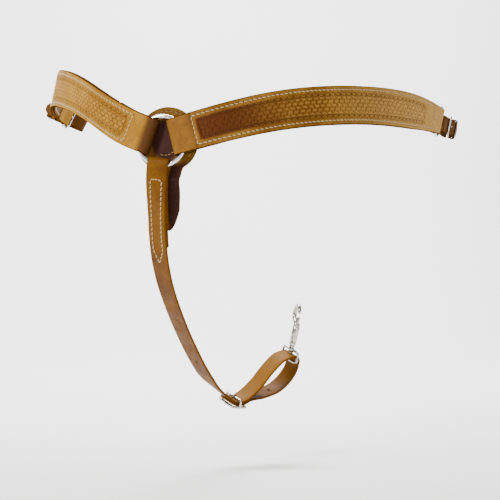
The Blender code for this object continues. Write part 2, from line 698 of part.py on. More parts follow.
def snap_body():
    """Swivel post, barrel and hook in one casting. The hook closes on the tip of the bolt."""
    frame = snap_frame()
    base, axis = snap_base(), frame[1]
    side, flat = snap_sides()
    profile = (
        (-9.4, 3.4),
        (-8.9, 4.1),
        (-7.3, 4.1),
        (-7.0, 2.6),
        (0.0, 2.6),
        (0.3, 4.4),
        (3.0, 5.0),
        (7.0, BARREL_RADIUS),
        (BARREL_LENGTH - 3, BARREL_RADIUS),
        (BARREL_LENGTH, BARREL_RADIUS - 1.2),
    )
    made = add_object("snap_body", *turned(profile, base, axis), NICKEL, base, metal=True)
    top = BARREL_LENGTH
    centre = (top + 12.5, -HOOK_RADIUS)
    arm = [(top - 9.0, -3.4), (top - 3.0, -6.5), (top + 4.0, -HOOK_RADIUS - 8.6)]
    bow = [
        (centre[0] + (HOOK_RADIUS + 2) * math.sin(a), centre[1] - HOOK_RADIUS * math.cos(a))
        for a in np.linspace(0.0, math.pi * 0.92, 12)
    ]
    line = smooth_line([*arm, *bow], 2.5)
    radii = np.interp(np.arange(len(line)), (0, len(line) * 0.5, len(line) - 3, len(line) - 1), (3.2, 3.4, 2.9, 2.0))
    hook = tube([base + axis * x + side * y for x, y in line], radii, 10, start_normal=flat)
    use_shape(made, "snap_hook", hook, "UNION")
    bore = turned(((9.0, 3.1), (BARREL_LENGTH + 4, 3.1)), base, axis)
    use_shape(made, "barrel_bore", bore, "DIFFERENCE")
    slot_centre = base + axis * 27.0 + side * 5.0
    use_shape(made, "thumb_slot", block(slot_centre, (axis, side, flat), (9.0, 4.5, 1.7)), "DIFFERENCE")
    return made


def snap_bolt():
    """Spring bolt with its thumb knob. Its tip meets the hook's nose."""
    frame = snap_frame()
    base, axis = snap_base(), frame[1]
    side = snap_sides()[0]
    profile = ((20.0, 2.3), (20.6, BOLT_RADIUS), (BARREL_LENGTH + 9.6, BOLT_RADIUS), (BARREL_LENGTH + 10.6, 1.9))
    made = add_object("snap_bolt", *turned(profile, base, axis, 16), NICKEL, base + axis * 33.0, metal=True)
    stem = turned(((1.0, 1.3), (6.8, 1.3), (7.2, 2.6), (9.2, 2.9), (10.4, 1.8)), base + axis * 33.0, side, 12)
    use_shape(made, "thumb_knob", stem, "UNION")
    return made


def snap_spring():
    """Coil spring that holds the bolt out, behind it in the barrel."""
    frame = snap_frame()
    base, axis, side = snap_base(), frame[1], frame[3]
    turns, per_turn = 5, 10
    steps = np.arange(turns * per_turn + 1)
    angles = steps * 2 * math.pi / per_turn
    rise = 10.2 + steps / steps[-1] * 8.9
    line = base + np.outer(rise, axis) + 2.0 * (np.outer(np.cos(angles), side) + np.outer(np.sin(angles), frame[2]))
    return add_object("snap_spring", *tube(line, 0.45, 6), NICKEL, base + axis * 10.0, metal=True)


def clear_scene():
    for old in list(bpy.data.objects):
        bpy.data.objects.remove(old)


def build():
    clear_scene()
    center_ring()
    safe_depth = arm_fold_radius() + ARM_LEATHER / 2 + GAP + 1.0 + SAFE_THICKNESS / 2
    lining_depth = safe_depth + SAFE_THICKNESS / 2 + GAP + LINING_THICKNESS / 2
    safe_layer("ring_safe", safe_depth, SAFE_THICKNESS, 0.0, TAN)
    safe_layer("safe_lining", lining_depth, LINING_THICKNESS, 0.8, LINING)
    for side in ARMS:
        chest_strap(side)
        strap_lining(side)
        end_dee(side)
        tug_strap(side)
        tug_buckle(side)
        tug_keeper(side)
    down_strap()
    girth_buckle()
    snap_eye()
    snap_body()
    snap_bolt()
    snap_spring()


build()
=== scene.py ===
"""Looks of the horse breastplate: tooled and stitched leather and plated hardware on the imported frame.
Lengths are in millimetres until a mesh is made. The strap constants are those that drive the solids,
repeated here because each visible strap is a finer version of its solid."""

import json
import math

import bpy
import numpy as np
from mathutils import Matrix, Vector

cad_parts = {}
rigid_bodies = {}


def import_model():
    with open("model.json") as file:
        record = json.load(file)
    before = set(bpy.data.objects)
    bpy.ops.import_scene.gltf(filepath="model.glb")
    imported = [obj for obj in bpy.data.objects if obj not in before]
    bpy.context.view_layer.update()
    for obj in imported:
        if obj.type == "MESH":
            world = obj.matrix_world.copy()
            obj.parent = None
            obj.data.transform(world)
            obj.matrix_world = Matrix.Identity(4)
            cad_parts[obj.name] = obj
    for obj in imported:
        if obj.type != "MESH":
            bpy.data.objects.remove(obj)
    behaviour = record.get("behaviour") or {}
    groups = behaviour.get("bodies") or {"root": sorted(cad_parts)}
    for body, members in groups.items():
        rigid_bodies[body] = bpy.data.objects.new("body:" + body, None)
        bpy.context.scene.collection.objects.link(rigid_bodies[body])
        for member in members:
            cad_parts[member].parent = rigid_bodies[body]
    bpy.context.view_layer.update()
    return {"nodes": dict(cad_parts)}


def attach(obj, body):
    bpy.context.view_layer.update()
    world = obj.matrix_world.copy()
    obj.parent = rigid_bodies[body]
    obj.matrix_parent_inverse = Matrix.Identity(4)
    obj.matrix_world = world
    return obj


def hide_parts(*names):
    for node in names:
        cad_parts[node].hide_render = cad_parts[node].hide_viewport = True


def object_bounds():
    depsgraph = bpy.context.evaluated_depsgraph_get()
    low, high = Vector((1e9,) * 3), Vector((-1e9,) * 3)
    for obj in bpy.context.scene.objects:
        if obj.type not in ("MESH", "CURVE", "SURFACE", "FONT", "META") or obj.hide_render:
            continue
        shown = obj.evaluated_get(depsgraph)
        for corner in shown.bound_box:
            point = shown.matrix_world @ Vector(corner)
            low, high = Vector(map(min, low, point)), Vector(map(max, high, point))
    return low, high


MM = 0.001
GAP = 0.3

RING_RADIUS = 32.8
RING_WIRE = 3.0
SAFE_HEAD_RADIUS = 44.0
SAFE_CENTRE = (4.0, 2.0)
SAFE_TAIL_LENGTH = 124.0
SAFE_THICKNESS = 3.2

ARM_LENGTH = 498.0
ARM_LEATHER = 4.0
ARM_LINING = 3.0
HEADING_AT = (0.0, 20.0, 60.0, 200.0, 500.0)
HEADING = (0.0, 4.0, 24.0, 47.5, 78.3)
RISE_AT = (0.0, 60.0, 200.0, 500.0)
LEAN_AT = (0.0, 30.0, 100.0, 280.0, 500.0)
WIDTH_AT = (0.0, 60.0, 150.0, 300.0, 390.0, 500.0)
ARM_WIDTH = (49.0, 51.0, 53.5, 54.5, 53.0, 38.0)
DEE_TURN = 10.0
SNAP_TURN = -25.0
ARMS = {
    "left": {"mirror": 1, "rise": (14.5, 15.2, 7.0, -6.6), "lean": (0.0, 0.0, -3.6, -8.0, 10.6)},
    "right": {"mirror": -1, "rise": (20.7, 26.6, 13.3, -14.0), "lean": (0.0, 0.0, 2.8, -8.0, -24.0)},
}
RING_TAB = 58.0
DEE_TAB = 44.0
DEE_WIRE = 2.25
DEE_HALF_WIDTH = 22.0
DEE_HEIGHT = 25.0

TUG_WIDTH = 25.0
TUG_LEATHER = 2.5
TUG_HALF_LENGTH = 27.0
TUG_HALF_GAP = 6.0
TUG_HEEL = 8.0
TUG_TIP = 37.0
BUCKLE_WIRE = 1.6
BUCKLE_LENGTH = 13.0
KEEPER_AT = 16.4

STRAP_WIDTH = 30.0
STRAP_LEATHER = 3.4
STRAP_TAB = 128.0
STRAP_RUN = 487.0
STRAP_HANG = -98.0
TURN_AT = (0.0, 15.0, 80.0, 395.0, 455.0, 520.0)
STRAP_YAW = (0.0, 0.0, -14.7, -14.7, -33.3, -33.3)
STRAP_ROLL = (-8.0, -8.0, -15.4, -15.4, -18.9, -18.9)
SWEEP_AT = (0.0, 10.0, 35.0, 100.0, 164.0, 202.0, 275.0, 361.0, 409.0, 470.0, 487.0)
STRAP_SWEEP = (0.0, 8.0, 20.0, 24.0, 35.0, 41.0, 46.0, 50.5, 54.5, 58.0, 80.0)
LOOP_OUT = ((0.0, 0.0), (14.0, 2.0), (38.0, 22.0), (57.0, 48.0), (75.0, 66.0), (90.0, 70.8))
LOOP_BEND = (96.5, 61.5)
LOOP_BEND_RADIUS = 9.5
LOOP_BACK = ((106.0, 61.5), (105.0, 47.0), (97.0, 30.0), (79.0, 14.0), (52.0, 5.5))
RETURN_END = 24.0

# Radius, at mid thickness, of each fold round its wire
ARM_FOLD = RING_WIRE + 0.5 + ARM_LEATHER / 2
DEE_FOLD = DEE_WIRE + 0.5 + ARM_LEATHER / 2
STRAP_FOLD = RING_WIRE + 0.5 + STRAP_LEATHER / 2

TONGUE_WIRE = 1.2
SLIDE_BAR = 2.0
SLIDE_HALF_LENGTH = 13.0
EYE_WIRE = 2.0
EYE_HALF_WIDTH = 17.8
EYE_HEIGHT = 17.5
BARREL_RADIUS = 5.6
BARREL_LENGTH = 40.0
BOLT_RADIUS = 2.7
HOOK_RADIUS = 11.5

# Tooling and thread
STITCH_PITCH = 6.56
STITCH_MARGIN = 6.0
THREAD = 0.62
FIELD_MARGIN = 10.8
FIELD_START = 33.5
FIELD_END = 440.0
CROSS_ROW = 29.0
END_ROW = ARM_LENGTH - 32.0
WEAVE_PITCH = 9.6
WEAVE_ROW = 5.3
FINE = 0.8
TURN_STEPS = 24
OFF_FACE = 2000.0
ARMS_DYED = {"left": 0.95, "right": 0.25}

# Camera, seen from the horse's left of the front
CAMERA_TURN = math.radians(17.5)
CAMERA_ACROSS = 116.9
CAMERA_DOWN = 144.8
CAMERA_BACK = 1750.0
CAMERA_LENS = 94.9
FLOOR_CLEARANCE = 0.09


def smooth_values(knots, values, at):
    """Values that pass smoothly through the knots, without overshooting them."""
    knots = np.asarray(knots, float)
    values = np.asarray(values, float)
    rates = (np.diff(values, axis=0).T / np.diff(knots)).T
    before, after = rates[:-1], rates[1:]
    slopes = np.zeros_like(values)
    limit = 3 * np.minimum(abs(before), abs(after))
    slopes[1:-1] = np.where(before * after > 0, np.clip((before + after) / 2, -limit, limit), 0)
    slopes[0], slopes[-1] = rates[0], rates[-1]
    at = np.asarray(at, float)
    left = np.clip(np.searchsorted(knots, at, side="right") - 1, 0, len(knots) - 2)
    span = knots[left + 1] - knots[left]
    u = (at - knots[left]) / span
    if values.ndim > 1:
        u, span = u[:, None], span[:, None]
    start = (2 * u**3 - 3 * u**2 + 1) * values[left] + (u**3 - 2 * u**2 + u) * span * slopes[left]
    end = (3 * u**2 - 2 * u**3) * values[left + 1] + (u**3 - u**2) * span * slopes[left + 1]
    return start + end


def unit(vector):
    vector = np.asarray(vector, float)
    return vector / np.linalg.norm(vector, axis=-1, keepdims=True)


def tangents(points, closed=False):
    if closed:
        return unit(np.roll(points, -1, axis=0) - np.roll(points, 1, axis=0))
    return unit(np.gradient(np.asarray(points, float), axis=0))


def eased(low, high, at):
    """0 up to low, 1 from high, and a smooth step between."""
    u = np.clip((np.asarray(at, float) - low) / (high - low), 0, 1)
    return u * u * (3 - 2 * u)


def walk(start, directions, step):
    middle = (directions[1:] + directions[:-1]) / 2 * step
    return np.vstack([start, start + np.cumsum(middle, axis=0)])


def sample(stations, table, at):
    return np.stack([np.interp(at, stations, column) for column in table.T], axis=1)


def tiled(vector, line):
    """The same vector at each point of a line."""
    return np.tile(vector, (len(line), 1))


def opened(fold, leather, at, closed_at, span=14.0):
    """How far a folded end's back layer lies behind its front one: a fold apart, then close together."""
    close = leather + GAP
    return close + (2 * fold - close) * (1 - eased(closed_at, closed_at + span, at))


def past_ring(width):
    """Distance along a strap of this width from its fold to the ring's outer side."""
    return RING_RADIUS - math.sqrt(RING_RADIUS**2 - width**2 / 4) + RING_WIRE


def behind(stations, points, normal, at, depth):
    shift = sample(stations, normal, at) * np.reshape(depth, (-1, 1))
    return sample(stations, points, at) - shift


def reach_of(points):
    """Distance along a line to each of its points."""
    return np.concatenate([[0], np.cumsum(np.linalg.norm(np.diff(points, axis=0), axis=1))])


def smooth_line(pairs, spacing):
    pairs = np.asarray(pairs, float)
    reach = reach_of(pairs)
    return smooth_values(reach, pairs, np.linspace(0, reach[-1], int(reach[-1] / spacing) + 1))


def half_turn(centre, start, towards, radius, steps=TURN_STEPS):
    angles = np.linspace(0, math.pi, steps + 2)[1:-1]
    return centre + radius * (np.outer(np.cos(angles), start) + np.outer(np.sin(angles), towards))


# Meshes -----------------------------------------------------------------------------------------------


def skin(rings, closed=False):
    rings = np.asarray(rings)
    count, around = rings.shape[:2]
    rows = np.arange(count if closed else count - 1)
    here = (rows * around)[:, None]
    there = ((rows + 1) % count * around)[:, None]
    k = np.arange(around)[None]
    after = (k + 1) % around
    quads = np.stack([here + k, here + after, there + after, there + k], axis=-1).reshape(-1, 4)
    faces = quads.tolist()
    if not closed:
        faces.append(list(range(around))[::-1])
        faces.append([(count - 1) * around + i for i in range(around)])
    return rings.reshape(-1, 3), faces


def merged(shapes):
    points, faces, start = [], [], 0
    for some_points, some_faces in shapes:
        points.append(some_points)
        faces += [[start + i for i in face] for face in some_faces]
        start += len(some_points)
    return np.vstack(points), faces


def add_piece(name, shape, finish, body, replaced=(), marks=None, angle=50.0):
    """One visible piece that rides on a body. Marks are named values, one for each point."""
    points, faces = shape
    mesh = bpy.data.meshes.new(name)
    mesh.from_pydata((np.asarray(points) * MM).tolist(), [], faces)
    for mark, values in (marks or {}).items():
        attribute = mesh.attributes.new(mark, "FLOAT", "POINT")
        attribute.data.foreach_set("value", np.asarray(values, np.float32))
    if signed_volume(points, faces) < 0:
        mesh.flip_normals()
    mesh.shade_smooth()
    mesh.set_sharp_from_angle(angle=math.radians(angle))
    made = bpy.data.objects.new(name, mesh)
    bpy.context.scene.collection.objects.link(made)
    made.data.materials.append(finish)
    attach(made, body)
    if replaced:
        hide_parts(*replaced)
    return made


def signed_volume(points, faces):
    """Positive where the four-sided faces face out. The end caps are left out."""
    points = np.asarray(points)
    a, b, c, d = (points[corner] for corner in np.array([f for f in faces if len(f) == 4]).T)
    return (a * np.cross(b, c)).sum() + (a * np.cross(c, d)).sum()


def leather(centres, sides, widths, thickness, across=1.6, relief=None, closed=False, tone_and_painted_shade=None):
    """A strap with rounded edges. Relief gives the height of its outer face from the row number and the
    distance across, and the tone function its colour, from -1 for pale to 1 for dark, painted shade included.
    Returns the shape and its marks: edge is 1 on a cut edge, deep in a tooled hollow, high on a raised place
    and back on the hidden face."""
    centres = np.asarray(centres, float)
    along = tangents(centres, closed)
    sides = unit(sides)
    normals = unit(np.cross(along, sides))
    count = len(centres)
    half = np.broadcast_to(np.asarray(widths, float) / 2, count).astype(float)
    thick = thickness / 2
    ease = np.minimum(thickness * 0.42, half * 0.6)
    columns = max(int(half.max() * 2 / across), 3)
    spread = np.linspace(1, -1, columns)
    flat = half - ease
    x_front = flat[:, None] * spread[None]
    row = np.arange(count)[:, None]
    height = np.zeros_like(x_front) if relief is None else relief(row, x_front, half[:, None])
    y_front = thick + height
    bend = np.radians((25.0, 50.0, 75.0))
    x_round = flat[:, None] + ease[:, None] * np.sin(bend)
    y_round = thick - ease[:, None] + ease[:, None] * np.cos(bend)
    back = np.linspace(-1, 1, 5)
    x_back = flat[:, None] * back[None]
    y_back = np.full_like(x_back, -thick)
    middle_x = half[:, None]
    middle_y = np.zeros((count, 1))
    xs = [x_front, -x_round, -middle_x, -x_round[:, ::-1], x_back, x_round, middle_x, x_round[:, ::-1]]
    ys = [y_front, y_round, middle_y, -y_round[:, ::-1], y_back, -y_round, middle_y, y_round[:, ::-1]]
    x = np.concatenate(xs, axis=1)
    y = np.concatenate(ys, axis=1)
    rings = centres[:, None] + x[..., None] * sides[:, None] + y[..., None] * normals[:, None]
    margin = half[:, None] - abs(x)
    edge = np.clip(1 - margin / (ease[:, None] * 1.7), 0, 1)
    deep = np.zeros_like(x)
    deep[:, :columns] = np.clip(-height / 0.7, 0, 1)
    high = np.zeros_like(x)
    high[:, :columns] = np.clip(height / 0.5, 0, 1)
    back_mark = np.zeros_like(x)
    first_back = columns + 7
    back_mark[:, first_back : first_back + 5] = 1
    dark = np.zeros_like(x) if tone_and_painted_shade is None else tone_and_painted_shade(row, x, half[:, None]) + 0 * x
    marks = {"edge": edge, "deep": deep, "high": high, "back": back_mark, "tone_and_painted_shade": dark}
    return skin(rings, closed), {name: values.ravel() for name, values in marks.items()}


def tube(centres, radius, sides=20, closed=False, start_normal=None):
    centres = np.asarray(centres, float)
    along = tangents(centres, closed)
    normal = np.asarray(start_normal if start_normal is not None else (0.31, 0.17, 0.94), float)
    angles = np.arange(sides) * 2 * math.pi / sides
    radius = np.broadcast_to(np.asarray(radius, float), len(centres))
    rings = []
    for i, direction in enumerate(along):
        normal = unit(normal - normal.dot(direction) * direction)
        other = np.cross(direction, normal)
        spokes = np.outer(np.cos(angles), normal) + np.outer(np.sin(angles), other)
        rings.append(centres[i] + radius[i] * spokes)
    return skin(rings, closed)


def turned(profile, base, axis, sides=40):
    axis = unit(axis)
    across = unit(np.cross(axis, (0.83, 0.41, 0.37)))
    other = np.cross(axis, across)
    angles = np.arange(sides) * 2 * math.pi / sides
    ring = np.outer(np.cos(angles), across) + np.outer(np.sin(angles), other)
    return skin([np.asarray(base) + axis * along + ring * radius for along, radius in profile])


def stitches(path, normals, pitch=STITCH_PITCH, radius=THREAD, slant=0.45, sink=0.5, phase=0.5):
    """Thread along a path on a face: one short length for each pitch, whose ends go down into holes."""
    reach = reach_of(path)
    count = max(int(reach[-1] / pitch), 1)
    pitch = reach[-1] / count
    steps = np.linspace(-0.38, 0.38, 7)
    rise = np.cos(steps / 0.38 * math.pi / 2) * 1.1 - 0.62
    shapes = []
    for i in range(count):
        at = (i + phase) * pitch + steps * pitch
        spots = sample(reach, path, at)
        normal = unit(sample(reach, normals, at))
        across = unit(np.cross(tangents(spots), normal))
        spots = spots + normal * (rise * sink + 0.12)[:, None] + across * (steps / 0.38 * slant)[:, None]
        widths = radius * np.array((0.7, 0.95, 1.05, 1.1, 1.05, 0.95, 0.7))
        shapes.append(tube(spots, widths, 7, start_normal=normal[0]))
    return merged(shapes)


def edge_stitches(surface, across, half, normals):
    inset = across * (half - STITCH_MARGIN)[:, None]
    return [stitches(surface + inset * edge, normals) for edge in (1, -1)]


# Strap lines ------------------------------------------------------------------------------------------


def arm_line(side):
    form = ARMS[side]
    stations = np.arange(0, ARM_LENGTH + 1)
    heading = np.radians(smooth_values(HEADING_AT, HEADING, stations))
    rise = np.radians(smooth_values(RISE_AT, form["rise"], stations))
    lean = np.radians(smooth_values(LEAN_AT, form["lean"], stations))
    flat = np.zeros_like(heading)
    along = np.stack([np.cos(rise) * np.cos(heading), np.cos(rise) * np.sin(heading), np.sin(rise)], axis=1)
    outward = np.stack([np.sin(heading), -np.cos(heading), flat], axis=1)
    upward = unit(np.cross(outward, along))
    across = upward * np.cos(lean)[:, None] + outward * np.sin(lean)[:, None]
    normal = unit(np.cross(along, across))
    reach = math.sqrt(RING_RADIUS**2 - ARM_WIDTH[0] ** 2 / 4) - 1.5
    start = along[0] * reach + normal[0] * ARM_FOLD
    points = walk(start, along, 1.0)
    mirror = np.array([form["mirror"], 1, 1])
    return stations, points * mirror, along * mirror, normal * mirror, across * mirror


def arm_ends(side):
    stations, points, along, normal, across = arm_line(side)
    turn = math.radians(DEE_TURN) if side == "left" else 0.0
    dee_side = np.cross(across[-1], along[-1])
    dee_reach = along[-1] * math.cos(turn) + dee_side * math.sin(turn)
    return {
        "ring_fold": points[0] - normal[0] * ARM_FOLD,
        "dee_fold": points[-1] - normal[-1] * DEE_FOLD,
        "dee_axis": across[-1],
        "dee_reach": dee_reach,
        "dee_normal": unit(np.cross(dee_reach, across[-1])),
    }


def strap_axes(yaw, roll):
    yaw, roll = np.radians(yaw), np.radians(roll)
    across = np.stack([np.cos(roll) * np.cos(yaw), np.cos(roll) * np.sin(yaw), np.sin(roll)], axis=-1)
    back = np.stack([-np.sin(yaw), np.cos(yaw), np.zeros_like(yaw)], axis=-1)
    return across, back, np.cross(across, back)


def strap_run():
    stations = np.arange(0, STRAP_RUN + 1)
    across, back, up = strap_axes(
        smooth_values(TURN_AT, STRAP_YAW, stations), smooth_values(TURN_AT, STRAP_ROLL, stations)
    )
    sweep = np.radians(smooth_values(SWEEP_AT, STRAP_SWEEP, stations))[:, None]
    along = back * np.sin(sweep) - up * np.cos(sweep)
    normal = np.cross(along, across)
    hang = math.radians(STRAP_HANG)
    reach = math.sqrt(RING_RADIUS**2 - STRAP_WIDTH**2 / 4)
    fold = np.array([math.cos(hang), 0, math.sin(hang)]) * reach
    points = walk(fold + normal[0] * STRAP_FOLD, along, 1.0)
    return stations, points, along, normal, across, fold


def loop_frame():
    stations, points, along, normal, across, fold = strap_run()
    side, back, up = strap_axes(np.array(STRAP_YAW[-1]), np.array(STRAP_ROLL[-1]))
    return points[-1], back, -up, side


def loop_points(pairs):
    origin, back, outward, side = loop_frame()
    return np.array([origin + back * x - outward * y for x, y in pairs])


def return_layer(spacing=3.0, steps=9):
    """The strap's end, back through the slide under its own first layer."""
    origin, back, outward, side = loop_frame()
    stations, points, along, normal, across, fold = strap_run()
    at = np.linspace(STRAP_RUN, STRAP_RUN - RETURN_END, steps)
    run = sample(stations, points, at) - origin
    pairs = np.stack([run @ back, -run @ outward], axis=1)
    ahead = smooth_line(list(LOOP_OUT), spacing)
    ahead = ahead[(reach_of(ahead) > 1) & (reach_of(ahead) < 19.5)][::-1]
    line = np.vstack([ahead, pairs])
    along_pairs = tangents(line)
    beside = np.stack([along_pairs[:, 1], -along_pairs[:, 0]], axis=1)
    beside *= -np.sign(beside[:, 1])[:, None]
    return line + beside * (STRAP_LEATHER + GAP + 0.1)


def tug_frame(side):
    ends = arm_ends(side)
    upright = ends["dee_axis"]
    if side == "left":
        bow = ends["dee_fold"] + ends["dee_reach"] * (DEE_HEIGHT - 1.0)
        length = ends["dee_reach"]
        origin = bow + length * (TUG_HALF_LENGTH - 2.0)
    else:
        bow = ends["dee_fold"] + ends["dee_reach"] * (DEE_HEIGHT - 1.8)
        length = unit(np.cross(upright, ends["dee_reach"]))
        length *= -np.sign(length[0])
        origin = bow + length * 8.0
    outward = unit(np.cross(upright, length)) * (-1 if side == "left" else 1)
    return origin, length, outward, upright


def place(axes, triples):
    origin, length, outward, upright = axes
    return np.array([origin + length * x + outward * y + upright * z for x, y, z in triples])


def tug_line():
    fold = BUCKLE_WIRE + 0.4 + TUG_LEATHER / 2
    step = TUG_LEATHER + GAP
    strand = TUG_HEEL + 0.8
    turn = np.linspace(0, math.pi, 9)
    chape = [(12.0, strand - step), (7.5, strand - step)]
    heel = [(-fold * math.sin(a), TUG_HEEL - fold * math.cos(a)) for a in turn]
    front = [(x, strand) for x in (7.5, 13.0, 19.0)]
    near_end = [(TUG_HALF_LENGTH + TUG_HALF_GAP * math.sin(a), TUG_HALF_GAP * math.cos(a)) for a in turn]
    far_end = [(-TUG_HALF_LENGTH - TUG_HALF_GAP * math.sin(a), -TUG_HALF_GAP * math.cos(a)) for a in turn]
    over = TUG_HEEL + fold + step
    billet = [(-19.0, 6.2), (-BUCKLE_LENGTH, 7.3), (-6.0, 11.0), (0.0, over), (6.0, strand + step + 0.9)]
    tip = [(x, strand + step) for x in (12.0, 22.0, 30.0, TUG_TIP)]
    return chape + heel + front + near_end + far_end + billet + tip


# Materials --------------------------------------------------------------------------------------------


class Graph:
    """A material's nodes, added one at a time."""

    def __init__(self, name):
        self.material = bpy.data.materials.new(name)
        self.material.use_nodes = True
        self.tree = self.material.node_tree
        self.shader = self.tree.nodes["Principled BSDF"]
        self.place = self.add("ShaderNodeTexCoord").outputs["Object"]

    def add(self, kind, **settings):
        node = self.tree.nodes.new(kind)
        for name, value in settings.items():
            setattr(node, name, value)
        return node

    def link(self, source, target):
        self.tree.links.new(source, target)

    def noise(self, scale, detail=3.0, roughness=0.55):
        node = self.add("ShaderNodeTexNoise")
        node.inputs["Scale"].default_value = scale
        node.inputs["Detail"].default_value = detail
        node.inputs["Roughness"].default_value = roughness
        self.link(self.place, node.inputs["Vector"])
        return node.outputs["Fac"]

    def cells(self, scale):
        node = self.add("ShaderNodeTexVoronoi", feature="DISTANCE_TO_EDGE")
        node.inputs["Scale"].default_value = scale
        self.link(self.place, node.inputs["Vector"])
        return node.outputs["Distance"]

    def ramp(self, value, low, high, start=0.0, end=1.0):
        node = self.add("ShaderNodeMapRange", interpolation_type="SMOOTHSTEP")
        for socket, number in zip(("From Min", "From Max", "To Min", "To Max"), (low, high, start, end)):
            node.inputs[socket].default_value = number
        self.link(value, node.inputs["Value"])
        return node.outputs["Result"]

    def mark(self, name):
        return self.add("ShaderNodeAttribute", attribute_name=name).outputs["Fac"]

    def times(self, first, second):
        node = self.add("ShaderNodeMath", operation="MULTIPLY")
        self.link(first, node.inputs[0])
        if isinstance(second, float):
            node.inputs[1].default_value = second
        else:
            self.link(second, node.inputs[1])
        return node.outputs[0]

    def mix(self, share, first, second, blend="MIX"):
        node = self.add("ShaderNodeMix", data_type="RGBA", blend_type=blend)
        self.link(share, node.inputs["Factor"])
        for socket, value in ((node.inputs[6], first), (node.inputs[7], second)):
            if isinstance(value, tuple):
                socket.default_value = (*value, 1)
            else:
                self.link(value, socket)
        return node.outputs[2]

    def bump(self, height, distance, strength=1.0, before=None):
        node = self.add("ShaderNodeBump")
        node.inputs["Distance"].default_value = distance
        node.inputs["Strength"].default_value = strength
        self.link(height, node.inputs["Height"])
        if before is not None:
            self.link(before, node.inputs["Normal"])
        return node.outputs["Normal"]


def leather_finish(name, light, body, deep, edge, back, tone_and_painted_shade, pale, roughness=0.52):
    """Oiled leather. It drifts between two tones, is darker in tooled hollows, darker in its tone mark, which
    also carries painted shade, paler on raised places, and has its own edge and back colours."""
    graph = Graph(name)
    tone = graph.mix(graph.ramp(graph.noise(16.0, 4.0), 0.36, 0.64), body, light)
    tone = graph.mix(graph.ramp(graph.mark("high"), 0.15, 0.9, 0.0, 0.42), tone, pale)
    # The tone mark's darker colour is also painted shade.
    tone = graph.mix(graph.ramp(graph.mark("tone_and_painted_shade"), 0.0, 1.0), tone, tone_and_painted_shade)
    tone = graph.mix(graph.ramp(graph.mark("tone_and_painted_shade"), -1.0, 0.0, 1.0, 0.0), tone, pale)
    mottle = graph.ramp(graph.noise(230.0, 5.0, 0.65), 0.35, 0.7, 0.0, 0.32)
    tone = graph.mix(mottle, tone, deep)
    tone = graph.mix(graph.ramp(graph.mark("deep"), 0.10, 1.0, 0.0, 0.8), tone, deep)
    tone = graph.mix(graph.mark("back"), tone, back)
    tone = graph.mix(graph.ramp(graph.mark("edge"), 0.35, 0.95), tone, edge)
    graph.link(tone, graph.shader.inputs["Base Color"])
    rough = graph.ramp(graph.noise(60.0, 3.0), 0.3, 0.7, roughness - 0.06, roughness + 0.10)
    graph.link(rough, graph.shader.inputs["Roughness"])
    graph.link(graph.ramp(graph.mark("edge"), 0.0, 0.6, 0.09, 0.0), graph.shader.inputs["Specular IOR Level"])
    grain = graph.bump(graph.cells(1100.0), 0.00018, 0.5)
    creases = graph.bump(graph.noise(420.0, 6.0, 0.7), 0.00035, 0.5, grain)
    graph.link(creases, graph.shader.inputs["Normal"])
    return graph.material


def metal_finish(name, colour, dark_reflection, roughness):
    """Plated metal with fine polishing marks and a few darker patches that are painted dark reflections."""
    graph = Graph(name)
    patches = graph.ramp(graph.noise(90.0, 4.0), 0.52, 0.72)
    # The darker patches are painted dark reflections.
    graph.link(graph.mix(patches, colour, dark_reflection), graph.shader.inputs["Base Color"])
    graph.shader.inputs["Metallic"].default_value = 1.0
    rough = graph.ramp(graph.noise(160.0, 4.0), 0.3, 0.75, roughness, roughness + 0.14)
    graph.link(rough, graph.shader.inputs["Roughness"])
    graph.link(graph.bump(graph.noise(900.0, 3.0), 0.00004, 0.5), graph.shader.inputs["Normal"])
    return graph.material


def thread_finish(name, dull, bright):
    """Waxed linen thread, with a twist along it."""
    graph = Graph(name)
    tone = graph.mix(graph.ramp(graph.noise(900.0, 2.0), 0.35, 0.65), dull, bright)
    graph.link(tone, graph.shader.inputs["Base Color"])
    graph.shader.inputs["Roughness"].default_value = 0.62
    graph.link(graph.bump(graph.noise(2600.0, 2.0), 0.0002, 0.7), graph.shader.inputs["Normal"])
    return graph.material


def plain_finish(name, colour, roughness):
    graph = Graph(name)
    tone = graph.mix(graph.ramp(graph.noise(1.5, 2.0), 0.3, 0.7), colour, tuple(c * 0.985 for c in colour))
    graph.link(tone, graph.shader.inputs["Base Color"])
    graph.shader.inputs["Roughness"].default_value = roughness
    return graph.material


